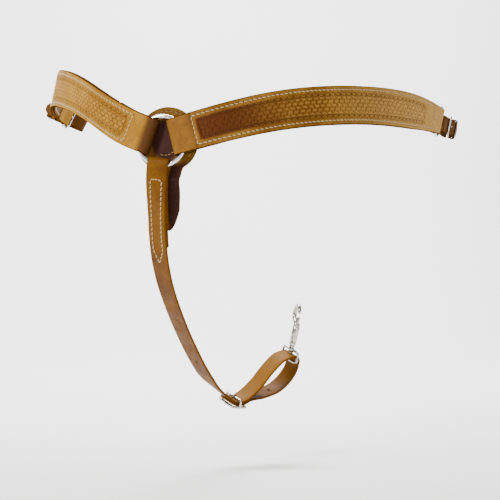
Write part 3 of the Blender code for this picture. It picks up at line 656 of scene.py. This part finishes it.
def finishes():
    return {
        # The sixth colour of each leather is its darker tone, which also paints shade: at the right arm's
        # fold, and on the safe, where it is only painted shade inside the ring and the down strap's painted
        # shadow on the tail.
        "tooled_left": leather_finish(
            "tooled_leather_left", (0.300, 0.145, 0.018), (0.185, 0.078, 0.007), (0.050, 0.016, 0.002),
            (0.020, 0.007, 0.002), (0.12, 0.048, 0.006), (0.080, 0.019, 0.002), (0.50, 0.270, 0.065),
        ),
        "tooled_right": leather_finish(
            "tooled_leather_right", (0.40, 0.205, 0.022), (0.29, 0.130, 0.009), (0.060, 0.018, 0.002),
            (0.045, 0.015, 0.003), (0.14, 0.058, 0.007), (0.055, 0.018, 0.003), (0.54, 0.300, 0.055),
        ),
        "strap": leather_finish(
            "harness_leather", (0.145, 0.056, 0.002), (0.088, 0.027, 0.001), (0.028, 0.008, 0.001),
            (0.10, 0.036, 0.004), (0.17, 0.072, 0.008), (0.060, 0.016, 0.002), (0.30, 0.150, 0.020),
        ),
        "safe": leather_finish(
            "safe_leather", (0.17, 0.080, 0.004), (0.115, 0.046, 0.002), (0.025, 0.008, 0.001),
            (0.06, 0.022, 0.003), (0.10, 0.038, 0.005), (0.034, 0.010, 0.007), (0.26, 0.130, 0.020),
        ),
        "tug": leather_finish(
            "tug_leather", (0.16, 0.072, 0.005), (0.085, 0.030, 0.002), (0.022, 0.007, 0.001),
            (0.022, 0.008, 0.002), (0.10, 0.036, 0.005), (0.05, 0.015, 0.003), (0.28, 0.140, 0.020),
        ),
        "lining": leather_finish(
            "lining_leather", (0.17, 0.070, 0.008), (0.115, 0.042, 0.004), (0.040, 0.012, 0.002),
            (0.035, 0.012, 0.003), (0.13, 0.050, 0.008), (0.09, 0.030, 0.006), (0.24, 0.12, 0.03), 0.6,
        ),
        "dark_thread": thread_finish("safe_thread", (0.16, 0.080, 0.020), (0.26, 0.145, 0.045)),
        "thread": thread_finish("waxed_thread", (0.40, 0.28, 0.11), (0.55, 0.42, 0.21)),
        # The metal tones are darkened as painted dark reflections, most of all in their darker patches.
        "chrome": metal_finish("chrome_plate", (0.74, 0.74, 0.73), (0.50, 0.48, 0.44), 0.08),
        "nickel": metal_finish("nickel_plate", (0.50, 0.46, 0.39), (0.22, 0.17, 0.12), 0.14),
        "spring": metal_finish("spring_wire", (0.50, 0.50, 0.50), (0.40, 0.39, 0.37), 0.30),
    }


# Tooling ----------------------------------------------------------------------------------------------


def hollow(distance, width):
    return np.exp(-((distance / width) ** 2))


def weave_height(along, across):
    """Basket weave: rows of raised bars that dip at their ends, each row half a bar out of step."""
    row = np.floor(across / WEAVE_ROW + 0.5)
    b = (across / WEAVE_ROW - row) * 2
    shifted = along / WEAVE_PITCH + 0.5 * (row % 2) + 0.13 * b * (1 - 2 * (row % 2))
    a = (shifted - np.floor(shifted) - 0.5) * 2
    bar = np.cos(b * math.pi / 2) ** 0.8 * (1 - 0.30 * a**2)
    ribs = 0.10 * np.cos(b * math.pi * 1.5) * (1 - a**2)
    ends = hollow(1 - abs(a), 0.20) * (1 - 0.35 * abs(b))
    height = 0.62 * bar + ribs - 0.95 * ends - 0.22
    jitter = np.sin(along * 0.83 + row * 2.1) * 0.06 + np.sin(along * 0.31 - row * 1.3) * 0.05
    return height + jitter


def border_height(along, rim):
    """A row of half-moon stamps along the field's rim, each round a small hole."""
    centre = (np.floor(along / WEAVE_PITCH) + 0.5) * WEAVE_PITCH
    radius = np.hypot(along - centre, rim)
    inside = (rim > -0.4).astype(float)
    moon = hollow(radius - 4.3, 0.75) * inside * 0.75
    rays = 0.18 * np.cos(np.arctan2(rim, along - centre) * 9) * hollow(radius - 2.9, 1.0) * inside
    return -1.25 * moon - 0.95 * hollow(radius, 1.25) + rays + 0.25 * hollow(radius - 2.2, 0.8) * inside


def arm_relief(stations):
    """Height of the chest strap's face: the tooled field, its border and bead, and the thread's groove."""
    stations = np.asarray(stations)

    def height(rows, x, half):
        along = stations[rows]
        margin = half - abs(x)
        shape = np.clip((along - FIELD_START) / 14, 0, 1) * np.clip((FIELD_END + 8 - along) / 40, 0, 1)
        limit = (half - FIELD_MARGIN) * np.clip(shape * 3, 0, 1) ** 0.5
        stop = np.minimum(along - FIELD_START, FIELD_END - along)
        rim = np.minimum(limit - abs(x), stop)
        near_rim = 1 - eased(3.6, 5.4, rim)
        tooled = weave_height(along, x) * (1 - near_rim) + border_height(along, rim) * near_rim
        total = eased(-0.3, 0.5, rim) * tooled
        bead = (rim > -4) & (along > FIELD_START - 4) & (along < FIELD_END + 4)
        total = total - 0.55 * hollow(rim + 0.9, 0.55) * bead
        run = (along > CROSS_ROW - 2) & (along < ARM_LENGTH - 30)
        total = total - 0.30 * hollow(margin - STITCH_MARGIN, 0.95) * run
        phase = (along - CROSS_ROW) / STITCH_PITCH
        hole = hollow((phase - np.round(phase)) * STITCH_PITCH, 0.8) * hollow(margin - STITCH_MARGIN, 0.8)
        total = total - 0.75 * hole * run
        for at in (CROSS_ROW, END_ROW):
            total = total - 0.28 * hollow(along - at, 0.9) * (abs(x) < half - STITCH_MARGIN)
        return total

    return height


def line_relief(stations, rows_at, holes=(), crease=None):
    """Height of a plain strap: grooves under its thread, punched holes, and a crease inside each edge."""
    stations = np.asarray(stations)

    def height(rows, x, half):
        along = stations[rows]
        total = np.zeros(np.broadcast(along, x).shape)
        for start, end, offset in rows_at:
            run = (along > start) & (along < end)
            total -= 0.28 * hollow(x - offset, 0.8) * run
            phase = (along - start) / STITCH_PITCH
            dots = hollow((phase - np.round(phase)) * STITCH_PITCH, 0.75) * hollow(x - offset, 0.75)
            total -= 0.7 * dots * run
        for at, offset, radius in holes:
            total -= 2.2 * eased(0, 0.9, radius - np.hypot(along - at, x - offset))
        if crease:
            total -= 0.22 * hollow(half - abs(x) - crease, 0.45)
        return total

    return height


# Pieces -----------------------------------------------------------------------------------------------


def places_between(start, end, spacing):
    return np.linspace(start, end, max(int((end - start) / spacing), 1) + 1)


def chest_strap(side, finish):
    stations, points, along, normal, across = arm_line(side)
    sign = ARMS[side]["mirror"]
    front = places_between(0, ARM_LENGTH, FINE)
    ring_tab = places_between(0, RING_TAB, 2.0)[::-1]
    dee_tab = places_between(ARM_LENGTH - DEE_TAB, ARM_LENGTH, 2.0)[::-1]
    ring_gap = opened(ARM_FOLD, ARM_LEATHER, ring_tab, past_ring(ARM_WIDTH[0]))
    dee_gap = opened(DEE_FOLD, ARM_LEATHER, ARM_LENGTH - dee_tab, 4.0, 12.0)
    ends = arm_ends(side)
    back_start = behind(stations, points, normal, ring_tab, ring_gap)
    back_end = behind(stations, points, normal, dee_tab, dee_gap)
    ring_turn = half_turn(ends["ring_fold"], -normal[0], -along[0], ARM_FOLD)
    dee_bend = half_turn(ends["dee_fold"], normal[-1], along[-1], DEE_FOLD)
    line = np.vstack([back_start, ring_turn, sample(stations, points, front), dee_bend, back_end])
    near_turn, far_turn = np.zeros(TURN_STEPS), np.full(TURN_STEPS, ARM_LENGTH)
    places = np.concatenate([ring_tab, near_turn, front, far_turn, dee_tab])
    behind_end = np.full(TURN_STEPS + len(dee_tab), OFF_FACE)
    marks_at = np.concatenate([-ring_tab - 20, near_turn - 10.0, front, behind_end])
    sides = sample(stations, across, places) * sign
    widths = smooth_values(WIDTH_AT, ARM_WIDTH, places)
    fine = 0.85

    def tone_and_painted_shade(rows, x, half):
        at = marks_at[rows]
        field = eased(-1, 1, half - FIELD_MARGIN - abs(x)) * eased(FIELD_START - 2, FIELD_START + 2, at)
        dark = (0.35 + 0.65 * field) * (1 - eased(50, 250, at)) * eased(20, 32, at)
        # On the right arm the darkening at the fold round the ring is painted shade; on the left arm the
        # strap is darker up to the cross row.
        fold = 0.9 * (1 - eased(1, 15, at)) if side == "right" else 0.40 * (at < CROSS_ROW)
        pale = 0.9 * eased(170, 430, at) * (at < ARM_LENGTH + 1)
        return dark * ARMS_DYED[side] + fold * (at > -12) - pale

    shape, marks = leather(line, sides, widths, ARM_LEATHER, fine, arm_relief(marks_at), tone_and_painted_shade=tone_and_painted_shade)
    add_piece(f"{side}_tooled_leather", shape, finish["tooled_" + side], f"{side}_strap",
              [f"{side}_chest_strap"], marks)
    half = smooth_values(WIDTH_AT, ARM_WIDTH, stations) / 2
    surface = points + normal * (ARM_LEATHER / 2)
    run = (stations >= CROSS_ROW) & (stations <= END_ROW)
    rows = edge_stitches(surface[run], across[run], half[run], normal[run])
    for at in (CROSS_ROW, END_ROW):
        index = int(at)
        reach = half[index] - STITCH_MARGIN
        spots = np.linspace(-reach, reach, 24)
        path = surface[index] + np.outer(spots, across[index])
        rows.append(stitches(path, tiled(normal[index], path), pitch=6.0))
    add_piece(f"{side}_strap_stitching", merged(rows), finish["thread"], f"{side}_strap")
    lining_at = stations[(stations > RING_TAB + 3) & (stations < ARM_LENGTH - DEE_TAB - 3)][::3]
    depth = ARM_LEATHER / 2 + GAP + ARM_LINING / 2
    line = behind(stations, points, normal, lining_at, depth)
    widths = smooth_values(WIDTH_AT, ARM_WIDTH, lining_at) - 0.6
    shape, marks = leather(line, sample(stations, across, lining_at) * sign, widths, ARM_LINING, 4.0)
    marks["back"] *= 0
    add_piece(f"{side}_lining_leather", shape, finish["lining"], f"{side}_strap",
              [f"{side}_strap_lining"], marks)
    surface = points - normal * (depth + ARM_LINING / 2)
    run = (stations >= RING_TAB + 6) & (stations <= ARM_LENGTH - DEE_TAB - 6)
    rows = edge_stitches(surface[run], across[run], half[run], -normal[run])
    add_piece(f"{side}_lining_stitching", merged(rows), finish["thread"], f"{side}_strap")


def dee_outline():
    bar = [(x, 0.0) for x in np.linspace(-0.8, 0.8, 15) * DEE_HALF_WIDTH]
    corner = DEE_HALF_WIDTH * 0.2
    turns = [
        (0.8 * DEE_HALF_WIDTH + corner * math.sin(a), corner * (1 - math.cos(a)))
        for a in (0.25, 0.5, 0.78, 1.05, 1.3)
    ]
    bow = [
        (DEE_HALF_WIDTH * math.cos(a), corner + (DEE_HEIGHT - corner) * math.sin(a))
        for a in np.linspace(0, math.pi, 61)
    ]
    back = [(-x, y) for x, y in turns[::-1]]
    return bar + turns + bow + back


def end_dee(side, finish):
    ends = arm_ends(side)
    line = [ends["dee_fold"] + ends["dee_axis"] * x + ends["dee_reach"] * y for x, y in dee_outline()]
    shape = tube(line, DEE_WIRE, 24, closed=True, start_normal=ends["dee_normal"])
    add_piece(f"{side}_dee_wire", shape, finish["chrome"], f"{side}_dee",
              [f"{side}_end_dee"])


def rounded_loop(first, second, half_width, corner, steps=8):
    first, second = np.asarray(first, float), np.asarray(second, float)
    reach = np.linalg.norm(second - first)
    way = (second - first) / reach
    points = []
    for centre_along, centre_up, start in (
        (reach - corner, half_width - corner, 0.0),
        (corner, half_width - corner, 0.5),
        (corner, corner - half_width, 1.0),
        (reach - corner, corner - half_width, 1.5),
    ):
        for part in range(steps + 1):
            angle = (start + part / steps / 2) * math.pi
            spot = first + way * (centre_along + corner * math.cos(angle))
            points.append((spot[0], spot[1], centre_up + corner * math.sin(angle)))
    return points


def resampled(points, spacing=1.0):
    """A closed line with even steps, so that a tube along it has no long facets."""
    points = np.vstack([points, points[:1]])
    reach = reach_of(points)
    keep = np.concatenate([[True], np.diff(reach) > 1e-6])
    count = int(reach[-1] / spacing)
    return sample(reach[keep], points[keep], np.arange(count) / count * reach[-1])


def bent_wire(axes, first, second, half_width, corner, wire, sides):
    """A closed rounded loop of wire between two bars."""
    line = resampled(place(axes, rounded_loop(first, second, half_width, corner)))
    return tube(line, wire, sides, closed=True, start_normal=axes[2])


def tongue(axes, heel, bar, bar_wire, wire, eye):
    """A buckle's tongue: a pin from the heel bar to the far bar, and two turns of its eye round the heel."""
    heel, bar = np.asarray(heel, float), np.asarray(bar, float)
    way = unit(bar - heel)
    outward = np.array([way[1], -way[0]]) if way[0] < 0 else np.array([-way[1], way[0]])
    rest = bar + outward * (bar_wire + wire + 0.4)
    way = unit(rest - heel)
    reach = np.linalg.norm(rest - heel) + 2.5
    spots = np.linspace(eye + wire * 0.4, reach, 14)
    pin = place(axes, [(*(heel + way * d), 0) for d in spots])
    radii = np.interp(spots, (0, reach - 4, reach - 1, reach), (wire, wire, wire * 0.8, wire * 0.35))
    pivot = place(axes, [(*heel, 0)])[0]
    turns = np.arange(48) * 2 * math.pi / 48
    spokes = np.outer(np.cos(turns), axes[1]) + np.outer(np.sin(turns), axes[2])
    ring = pivot + (eye + wire * 0.85) * spokes
    hub = [tube(ring + axes[3] * z, wire * 0.75, 12, closed=True, start_normal=axes[3]) for z in (-0.7, 0.7)]
    return merged([tube(pin, radii, 16), *hub])


def tug(side, finish):
    """The tug loop with its buckle, tongue and keeper."""
    axes = tug_frame(side)
    line = place(axes, [(x, y, 0) for x, y in smooth_line(tug_line(), 0.9)])
    stations = reach_of(line)
    total = stations[-1]
    widths = TUG_WIDTH * np.sqrt(np.clip((total - stations + 0.6) / 11.0, 0, 1)) ** 0.9
    widths = np.maximum(np.where(total - stations < 11, widths, TUG_WIDTH), 2.5)
    relief = line_relief(stations, (), [(total - 18.0, 0.0, 1.9)], crease=2.2)
    flip = -1 if side == "left" else 1
    shape, marks = leather(line, tiled(axes[3] * flip, line), widths, TUG_LEATHER, 1.1, relief)
    add_piece(f"{side}_tug_leather", shape, finish["tug"], f"{side}_tug",
              [f"{side}_tug_strap"], marks)
    heel = (0.0, TUG_HEEL)
    outer = (-BUCKLE_LENGTH, 7.3 + TUG_LEATHER / 2 + GAP + BUCKLE_WIRE + 0.2)
    half_width = TUG_WIDTH / 2 + 1.0 + BUCKLE_WIRE
    shape = bent_wire(axes, heel, outer, half_width, 3.0, BUCKLE_WIRE * 0.93, 18)
    add_piece(f"{side}_buckle_frame", shape, finish["chrome"], f"{side}_tug",
              [f"{side}_tug_buckle"])
    shape = tongue(axes, heel, outer, BUCKLE_WIRE, TONGUE_WIRE, BUCKLE_WIRE + 0.25)
    add_piece(f"{side}_buckle_tongue", shape, finish["chrome"], f"{side}_tongue",
              [f"{side}_tug_tongue"])
    strand = TUG_HEEL + 0.8
    low = strand - TUG_LEATHER / 2 - 1.6
    high = strand + TUG_LEATHER * 1.5 + GAP + 1.6
    corners = rounded_loop((low, 0), (high, 0), TUG_WIDTH / 2 + 1.7, 1.8)
    line = resampled(place(axes, [(KEEPER_AT, x, z) for x, _, z in corners]))
    shape, marks = leather(line, tiled(axes[1], line), 7.0, 1.8, 0.8, closed=True)
    marks["back"] *= 0
    add_piece(f"{side}_keeper_leather", shape, finish["tug"], f"{side}_keeper",
              [f"{side}_tug_keeper"], marks)


def center_ring(finish):
    angles = np.arange(180) * 2 * math.pi / 180
    line = np.stack([np.cos(angles), np.zeros(180), np.sin(angles)], axis=1) * RING_RADIUS
    shape = tube(line, RING_WIRE * 0.96, 32, closed=True, start_normal=(0, 1, 0))
    add_piece("ring_wire", shape, finish["chrome"], "centre", ["center_ring"])


def safe_width(down):
    radius = SAFE_HEAD_RADIUS
    total = 2 * radius + SAFE_TAIL_LENGTH - radius
    head = 2 * np.sqrt(np.clip(radius**2 - (down - radius) ** 2, 0, None))
    tail = 40.0 - 8.0 * eased(2 * radius + 18, total - 8, down)
    tail *= np.sqrt(np.clip((total - down) / 26.0, 0, 1))
    neck = eased(1.72 * radius, 2.0 * radius, down)
    return np.maximum(np.where(down < 1.62 * radius, head, head * (1 - neck) + tail * neck), 2.0)


def safe_line(down, depth):
    height = SAFE_CENTRE[1] + SAFE_HEAD_RADIUS - down
    bend = np.clip(-height - 40.0, 0, None)
    back = 0.36 * bend * eased(0, 30, bend)
    line = np.stack([SAFE_CENTRE[0] - 0.05 * bend - 4.5 * eased(0, 25, bend), back, height], axis=1)
    normals = np.cross([1.0, 0.0, 0.0], tangents(line))
    return line + normals * depth, -normals


def ring_safe(finish):
    total = SAFE_HEAD_RADIUS + SAFE_TAIL_LENGTH
    down = (1 - np.cos(np.linspace(0, math.pi, 150))) / 2 * total
    depth = ARM_FOLD + ARM_LEATHER / 2 + GAP + 1.0 + SAFE_THICKNESS / 2
    line, outward = safe_line(down, depth)
    sides = tiled([1.0, 0.0, 0.0], line)

    def relief(rows, x, half):
        across_head = np.hypot(x, down[rows] - SAFE_HEAD_RADIUS)
        margin = SAFE_HEAD_RADIUS - across_head
        return -0.35 * hollow(margin - STITCH_MARGIN, 0.9) * (down[rows] <= 2 * SAFE_HEAD_RADIUS)

    # Painted shade: darker inside the ring, and a painted shadow of the down strap on the right side of the
    # tail.
    def tone_and_painted_shade(rows, x, half):
        at = down[rows]
        inside = 1 - eased(17, 27, np.hypot(x + 1, (at - SAFE_HEAD_RADIUS) * 0.8))
        tail = eased(-2, 4, x) * eased(66, 84, at) * (1 - 0.45 * eased(150, 190, at))
        return np.clip(inside + tail, 0, 1)

    shape, marks = leather(line, sides, safe_width(down), SAFE_THICKNESS, 1.1, relief, tone_and_painted_shade=tone_and_painted_shade)
    add_piece("safe_leather", shape, finish["safe"], "centre", ["ring_safe"], marks)
    inner = SAFE_HEAD_RADIUS - STITCH_MARGIN
    front = depth - SAFE_THICKNESS / 2
    angles = np.radians(np.linspace(-38, 218, 90))
    head = np.stack([inner * np.cos(angles), np.full(90, front), inner * np.sin(angles)], axis=1)
    head += (SAFE_CENTRE[0], 0, SAFE_CENTRE[1])
    rows = [stitches(head, tiled([0.0, -1.0, 0.0], head))]
    angles = np.radians(np.linspace(-112, -12, 30))
    small = np.stack([18.5 * np.cos(angles) + 1, np.full(30, front), 18.5 * np.sin(angles)], axis=1)
    rows.append(stitches(small, tiled([0.0, -1.0, 0.0], small), pitch=5.2))
    add_piece("safe_stitching", merged(rows), finish["dark_thread"], "centre")


def dye(obj, finish):
    obj.data.materials.clear()
    obj.data.materials.append(finish)


def down_strap(finish):
    stations, points, along, normal, across, fold = strap_run()
    tab = places_between(0, STRAP_TAB, 2.0)[::-1]
    tab_gap = opened(STRAP_FOLD, STRAP_LEATHER, tab, past_ring(STRAP_WIDTH))
    back_layer = behind(stations, points, normal, tab, tab_gap)
    turn = half_turn(fold, -normal[0], -along[0], STRAP_FOLD)
    run = places_between(0, STRAP_RUN, FINE)
    front = sample(stations, points, run)
    sides = sample(stations, across, np.concatenate([tab, np.zeros(TURN_STEPS), run]))
    start_angle = math.atan2(LOOP_OUT[-1][1] - LOOP_BEND[1], LOOP_OUT[-1][0] - LOOP_BEND[0])
    arc = [
        (LOOP_BEND[0] + LOOP_BEND_RADIUS * math.cos(a), LOOP_BEND[1] + LOOP_BEND_RADIUS * math.sin(a))
        for a in np.linspace(start_angle, 0.0, 24)[1:]
    ]
    upper = smooth_line(list(LOOP_OUT), 1.2)[1:]
    under = return_layer(1.2, 20)
    lower = smooth_line([*LOOP_BACK, *under[:2]], 1.2)[1:-1]
    loop = loop_points([*upper, *arc, *lower, *under])
    line = np.vstack([back_layer, turn, front, loop])
    sides = np.vstack([sides, tiled(loop_frame()[3], loop)])
    after = STRAP_RUN + reach_of(np.vstack([front[-1:], loop]))[1:]
    marks_at = np.concatenate([-tab - 30, np.full(TURN_STEPS, -12.0), run, after])
    total = marks_at[-1]
    widths = np.full(len(line), STRAP_WIDTH)
    widths[:4] = STRAP_WIDTH * np.array((0.45, 0.6, 0.74, 0.88))
    tip = total - marks_at
    rounded = np.maximum(STRAP_WIDTH * np.sqrt(np.clip((tip + 0.5) / 13.0, 0, 1)), 3.0)
    widths = np.where(tip < 13, rounded, widths)
    holes = [(361.0, 1.0, 2.5), (332.0, 0.5, 1.4), (total - 66.0, 0.0, 2.3), (total - 96.0, 0.0, 2.3)]
    rows_at = [(24.0, STRAP_TAB, 8.0), (24.0, STRAP_TAB, -8.0)]
    relief = line_relief(marks_at, rows_at, holes, crease=2.4)
    shape, marks = leather(line, sides, widths, STRAP_LEATHER, 0.9, relief)
    add_piece("strap_leather", shape, finish["strap"], "down_strap", ["down_strap"], marks)
    surface = points + normal * (STRAP_LEATHER / 2)
    rows = []
    at = np.linspace(24, STRAP_TAB, 100)
    for edge in (1, -1):
        spots = sample(stations, surface, at) + sample(stations, across, at) * 8.0 * edge
        rows.append(stitches(spots, sample(stations, normal, at)))
        ends = np.linspace(STRAP_TAB, STRAP_TAB + 20, 16)
        reach = 8.0 * (1 - (ends - STRAP_TAB) / 20)
        spots = sample(stations, surface, ends) + sample(stations, across, ends) * (reach * edge)[:, None]
        rows.append(stitches(spots, sample(stations, normal, ends)))
    top = np.linspace(-7.5, 7.5, 24)
    arch = 24.0 - 1.6 * (1 - (top / 8) ** 2)
    spots = sample(stations, surface, arch) + sample(stations, across, arch) * top[:, None]
    rows.append(stitches(spots, sample(stations, normal, arch), pitch=5.0))
    add_piece("strap_stitching", merged(rows), finish["thread"], "down_strap")


def slide_depth(back):
    line = return_layer()[::-1]
    order = np.argsort(line[:, 0])
    height = np.interp((back - 2, back, back + 2), line[order, 0], line[order, 1])
    slope = math.atan((height[2] - height[0]) / 4)
    return (STRAP_LEATHER / 2 + GAP + SLIDE_BAR + 0.3) / math.cos(slope) - height[1]


def girth_buckle(finish):
    """The three-bar slide and the tongue on its middle bar."""
    axes = loop_frame()
    first = (-SLIDE_HALF_LENGTH, slide_depth(-SLIDE_HALF_LENGTH))
    second = (SLIDE_HALF_LENGTH, slide_depth(SLIDE_HALF_LENGTH))
    middle = (0.0, -(STRAP_LEATHER / 2 + GAP + SLIDE_BAR + 0.9))
    half_width = STRAP_WIDTH / 2 + 1.2 + SLIDE_BAR
    low = middle[1]
    side_height = (first[1] + second[1]) / 2
    half_bar = [(side_height, half_width), (low + 2.2, half_width - 0.2), (low, half_width - 2.6), (low, 0)]
    bar = [(0, y, -z) for y, z in half_bar] + [(0, y, z) for y, z in half_bar[:-1][::-1]]
    outer_bars = bent_wire(axes, first, second, half_width, 3.5, SLIDE_BAR, 20)
    middle_bar = tube(place(axes, smooth_line(bar, 0.8)), SLIDE_BAR * 0.9, 20)
    shape = merged([outer_bars, middle_bar])
    add_piece("slide_frame", shape, finish["nickel"], "down_strap", ["girth_buckle"])
    shape = tongue(axes, middle, second, SLIDE_BAR, TONGUE_WIRE * 1.15, SLIDE_BAR * 0.9 + 0.25)
    add_piece("slide_tongue", shape, finish["nickel"], "girth_tongue", ["girth_tongue"])


def cut_slot(obj, centre, axes, halves):
    """A round-ended thumb slot, cut with a Boolean."""
    length, depth, width = halves
    outline = [(math.cos(a) * width + (length - width) * (1 if math.cos(a) > 0 else -1), math.sin(a) * width)
               for a in (np.arange(32) + 0.5) * math.pi / 16]
    rings = [[centre + axes[0] * x + axes[1] * y + axes[2] * z for x, z in outline] for y in (-depth, depth)]
    points, faces = skin(rings)
    mesh = bpy.data.meshes.new("slot_cutter")
    mesh.from_pydata((points * MM).tolist(), [], faces)
    if signed_volume(points, faces) < 0:
        mesh.flip_normals()
    cutter = bpy.data.objects.new("slot_cutter", mesh)
    bpy.context.scene.collection.objects.link(cutter)
    cut = obj.modifiers.new("slot", "BOOLEAN")
    cut.operation = "DIFFERENCE"
    cut.object = cutter
    bpy.context.view_layer.update()
    made = bpy.data.meshes.new_from_object(obj.evaluated_get(bpy.context.evaluated_depsgraph_get()))
    obj.modifiers.clear()
    obj.data = made
    bpy.data.objects.remove(cutter)


def snap(finish):
    """The swivel snap: its eye, the casting with barrel and hook, and the bolt with its knob."""
    origin, back, outward, side = loop_frame()
    bar = loop_points([LOOP_BEND])[0]
    axis = -outward
    eye = bent_wire((bar, axis, back, side), (0, 0), (EYE_HEIGHT, 0), EYE_HALF_WIDTH, 4.5, EYE_WIRE, 20)
    boss = turned(
        ((-3.0, 3.2), (-3.0, 4.2), (-2.6, 4.6), (2.8, 4.6), (3.2, 4.2), (3.2, 3.0)),
        bar + axis * EYE_HEIGHT, axis
    )
    add_piece("snap_eye_wire", merged([eye, boss]), finish["nickel"], "snap_eye", ["snap_eye"])
    base = bar + axis * (EYE_HEIGHT + 3.6)
    top = BARREL_LENGTH
    profile = (
        (-9.4, 2.4), (-9.3, 3.4), (-8.9, 4.1), (-7.3, 4.1), (-7.0, 2.6), (0.0, 2.6), (0.1, 4.0), (0.7, 4.6),
        (1.8, 4.3), (3.0, 5.0), (5.0, 5.5), (7.0, BARREL_RADIUS), (8.0, BARREL_RADIUS), (8.4, 5.2),
        (8.9, 5.2), (9.3, BARREL_RADIUS), (top - 6, BARREL_RADIUS), (top - 5.6, 5.15), (top - 5.0, 5.15),
        (top - 4.6, 5.5), (top - 1, 5.0), (top, 4.2), (top + 0.1, 3.1),
    )
    turn = math.radians(SNAP_TURN)
    side = side * math.cos(turn) + back * math.sin(turn)
    flat = np.cross(side, axis)
    centre = (top + 12.5, -HOOK_RADIUS)
    arm = [(top - 9.0, -3.4), (top - 3.0, -6.5), (top + 4.0, -HOOK_RADIUS - 8.6)]
    bow = [
        (centre[0] + (HOOK_RADIUS + 2) * math.sin(a), centre[1] - HOOK_RADIUS * math.cos(a))
        for a in np.linspace(0.0, math.pi * 0.92, 12)
    ]
    line = smooth_line([*arm, *bow], 0.8)
    share = np.linspace(0, 1, len(line))
    radii = np.interp(share, (0, 0.5, 0.93, 0.985, 1), (3.2, 3.4, 2.9, 2.2, 1.2))
    hook = tube([base + axis * x + side * y for x, y in line], radii, 20, start_normal=flat)
    casting = add_piece("snap_casting", merged([turned(profile, base, axis), hook]), finish["nickel"], "snap",
                        ["snap_body"])
    cut_slot(casting, base + axis * 27.0 + side * 5.0, (axis, side, flat), (9.0, 2.2, 1.8))
    rod = turned(
        ((25.4, 2.3), (26.0, BOLT_RADIUS), (top + 9.6, BOLT_RADIUS), (top + 10.2, 2.3), (top + 10.6, 1.2)),
        base, axis
    )
    knob = turned(
        ((1.0, 1.3), (6.4, 1.3), (6.8, 2.3), (7.2, 2.7), (8.0, 3.0), (9.2, 2.9), (10.0, 2.3), (10.4, 1.2)),
        base + axis * 33.0, side, 28
    )
    shape = merged([rod, knob])
    add_piece("snap_bolt_rod", shape, finish["nickel"], "snap_bolt", ["snap_bolt"])


def view_and_light():
    """Level camera in front, a pale floor that curves up behind the object, and large soft lamps."""
    right = np.array([math.cos(CAMERA_TURN), math.sin(CAMERA_TURN), 0])
    forward = np.array([-right[1], right[0], 0])
    up = np.array([0, 0, 1.0])
    camera_data = bpy.data.cameras.new("camera")
    camera = bpy.data.objects.new("camera", camera_data)
    bpy.context.scene.collection.objects.link(camera)
    where = (CAMERA_ACROSS * right - CAMERA_DOWN * up - CAMERA_BACK * forward) * MM
    camera.location = where.tolist()
    camera.rotation_euler = (math.radians(90), 0, CAMERA_TURN)
    camera_data.sensor_width = 36
    camera_data.lens = CAMERA_LENS
    camera_data.clip_end = 50
    bpy.context.scene.camera = camera

    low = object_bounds()[0][2]
    mesh = bpy.data.meshes.new("floor")
    across, bend_at, bend = 6.0, 2.2, 1.4
    angles = np.linspace(0, math.pi / 2, 40)[1:]
    profile = [(-6.0, 0.0), (bend_at, 0.0)]
    profile += [(bend_at + math.sin(a) * bend, bend - math.cos(a) * bend) for a in angles]
    profile.append((bend_at + bend, 6.0))
    base = low - FLOOR_CLEARANCE
    points = [(*(forward[:2] * y + right[:2] * x), z + base) for x in (-across, across) for y, z in profile]
    wide = len(profile)
    mesh.from_pydata(points, [], [(i, i + 1, wide + i + 1, wide + i) for i in range(wide - 1)])
    mesh.shade_smooth()
    floor = bpy.data.objects.new("floor", mesh)
    bpy.context.scene.collection.objects.link(floor)
    floor.data.materials.append(plain_finish("pale_floor", (0.93, 0.93, 0.93), 0.75))

    world = bpy.data.worlds.new("soft_daylight")
    bpy.context.scene.world = world
    world.use_nodes = True
    background = world.node_tree.nodes["Background"]
    background.inputs["Color"].default_value = (1.0, 0.99, 0.975, 1)
    background.inputs["Strength"].default_value = 0.55
    for name, spot, size, power, colour in (
        ("key", (-1.0, -1.7, 1.1), 0.5, 70.0, (1.0, 0.98, 0.94)),
        ("fill", (1.3, -1.8, 0.4), 0.9, 12.0, (0.97, 0.98, 1.0)),
        ("wall", (-0.5, 1.1, 2.2), 2.0, 300.0, (1.0, 1.0, 1.0)),
    ):
        lamp_data = bpy.data.lights.new(name, "AREA")
        lamp_data.shape = "DISK"
        lamp_data.size = size
        lamp_data.energy = power
        lamp_data.color = colour
        lamp = bpy.data.objects.new(name, lamp_data)
        bpy.context.scene.collection.objects.link(lamp)
        lamp.location = spot
        aim = np.array((-0.8, 3.2, 0.0) if name == "wall" else (0.0, 0.15, -0.12)) - np.array(spot)
        tilt = math.acos(-aim[2] / np.linalg.norm(aim))
        lamp.rotation_euler = (tilt, 0, math.atan2(-aim[0], aim[1]))


for old in list(bpy.data.objects):
    bpy.data.objects.remove(old)
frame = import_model()
finish = finishes()
center_ring(finish)
ring_safe(finish)
for side in ARMS:
    chest_strap(side, finish)
    end_dee(side, finish)
    tug(side, finish)
down_strap(finish)
girth_buckle(finish)
snap(finish)
for node in frame["nodes"].values():
    kind = "lining" if "lining" in node.name else "spring"
    dye(node, finish[kind])
view_and_light()
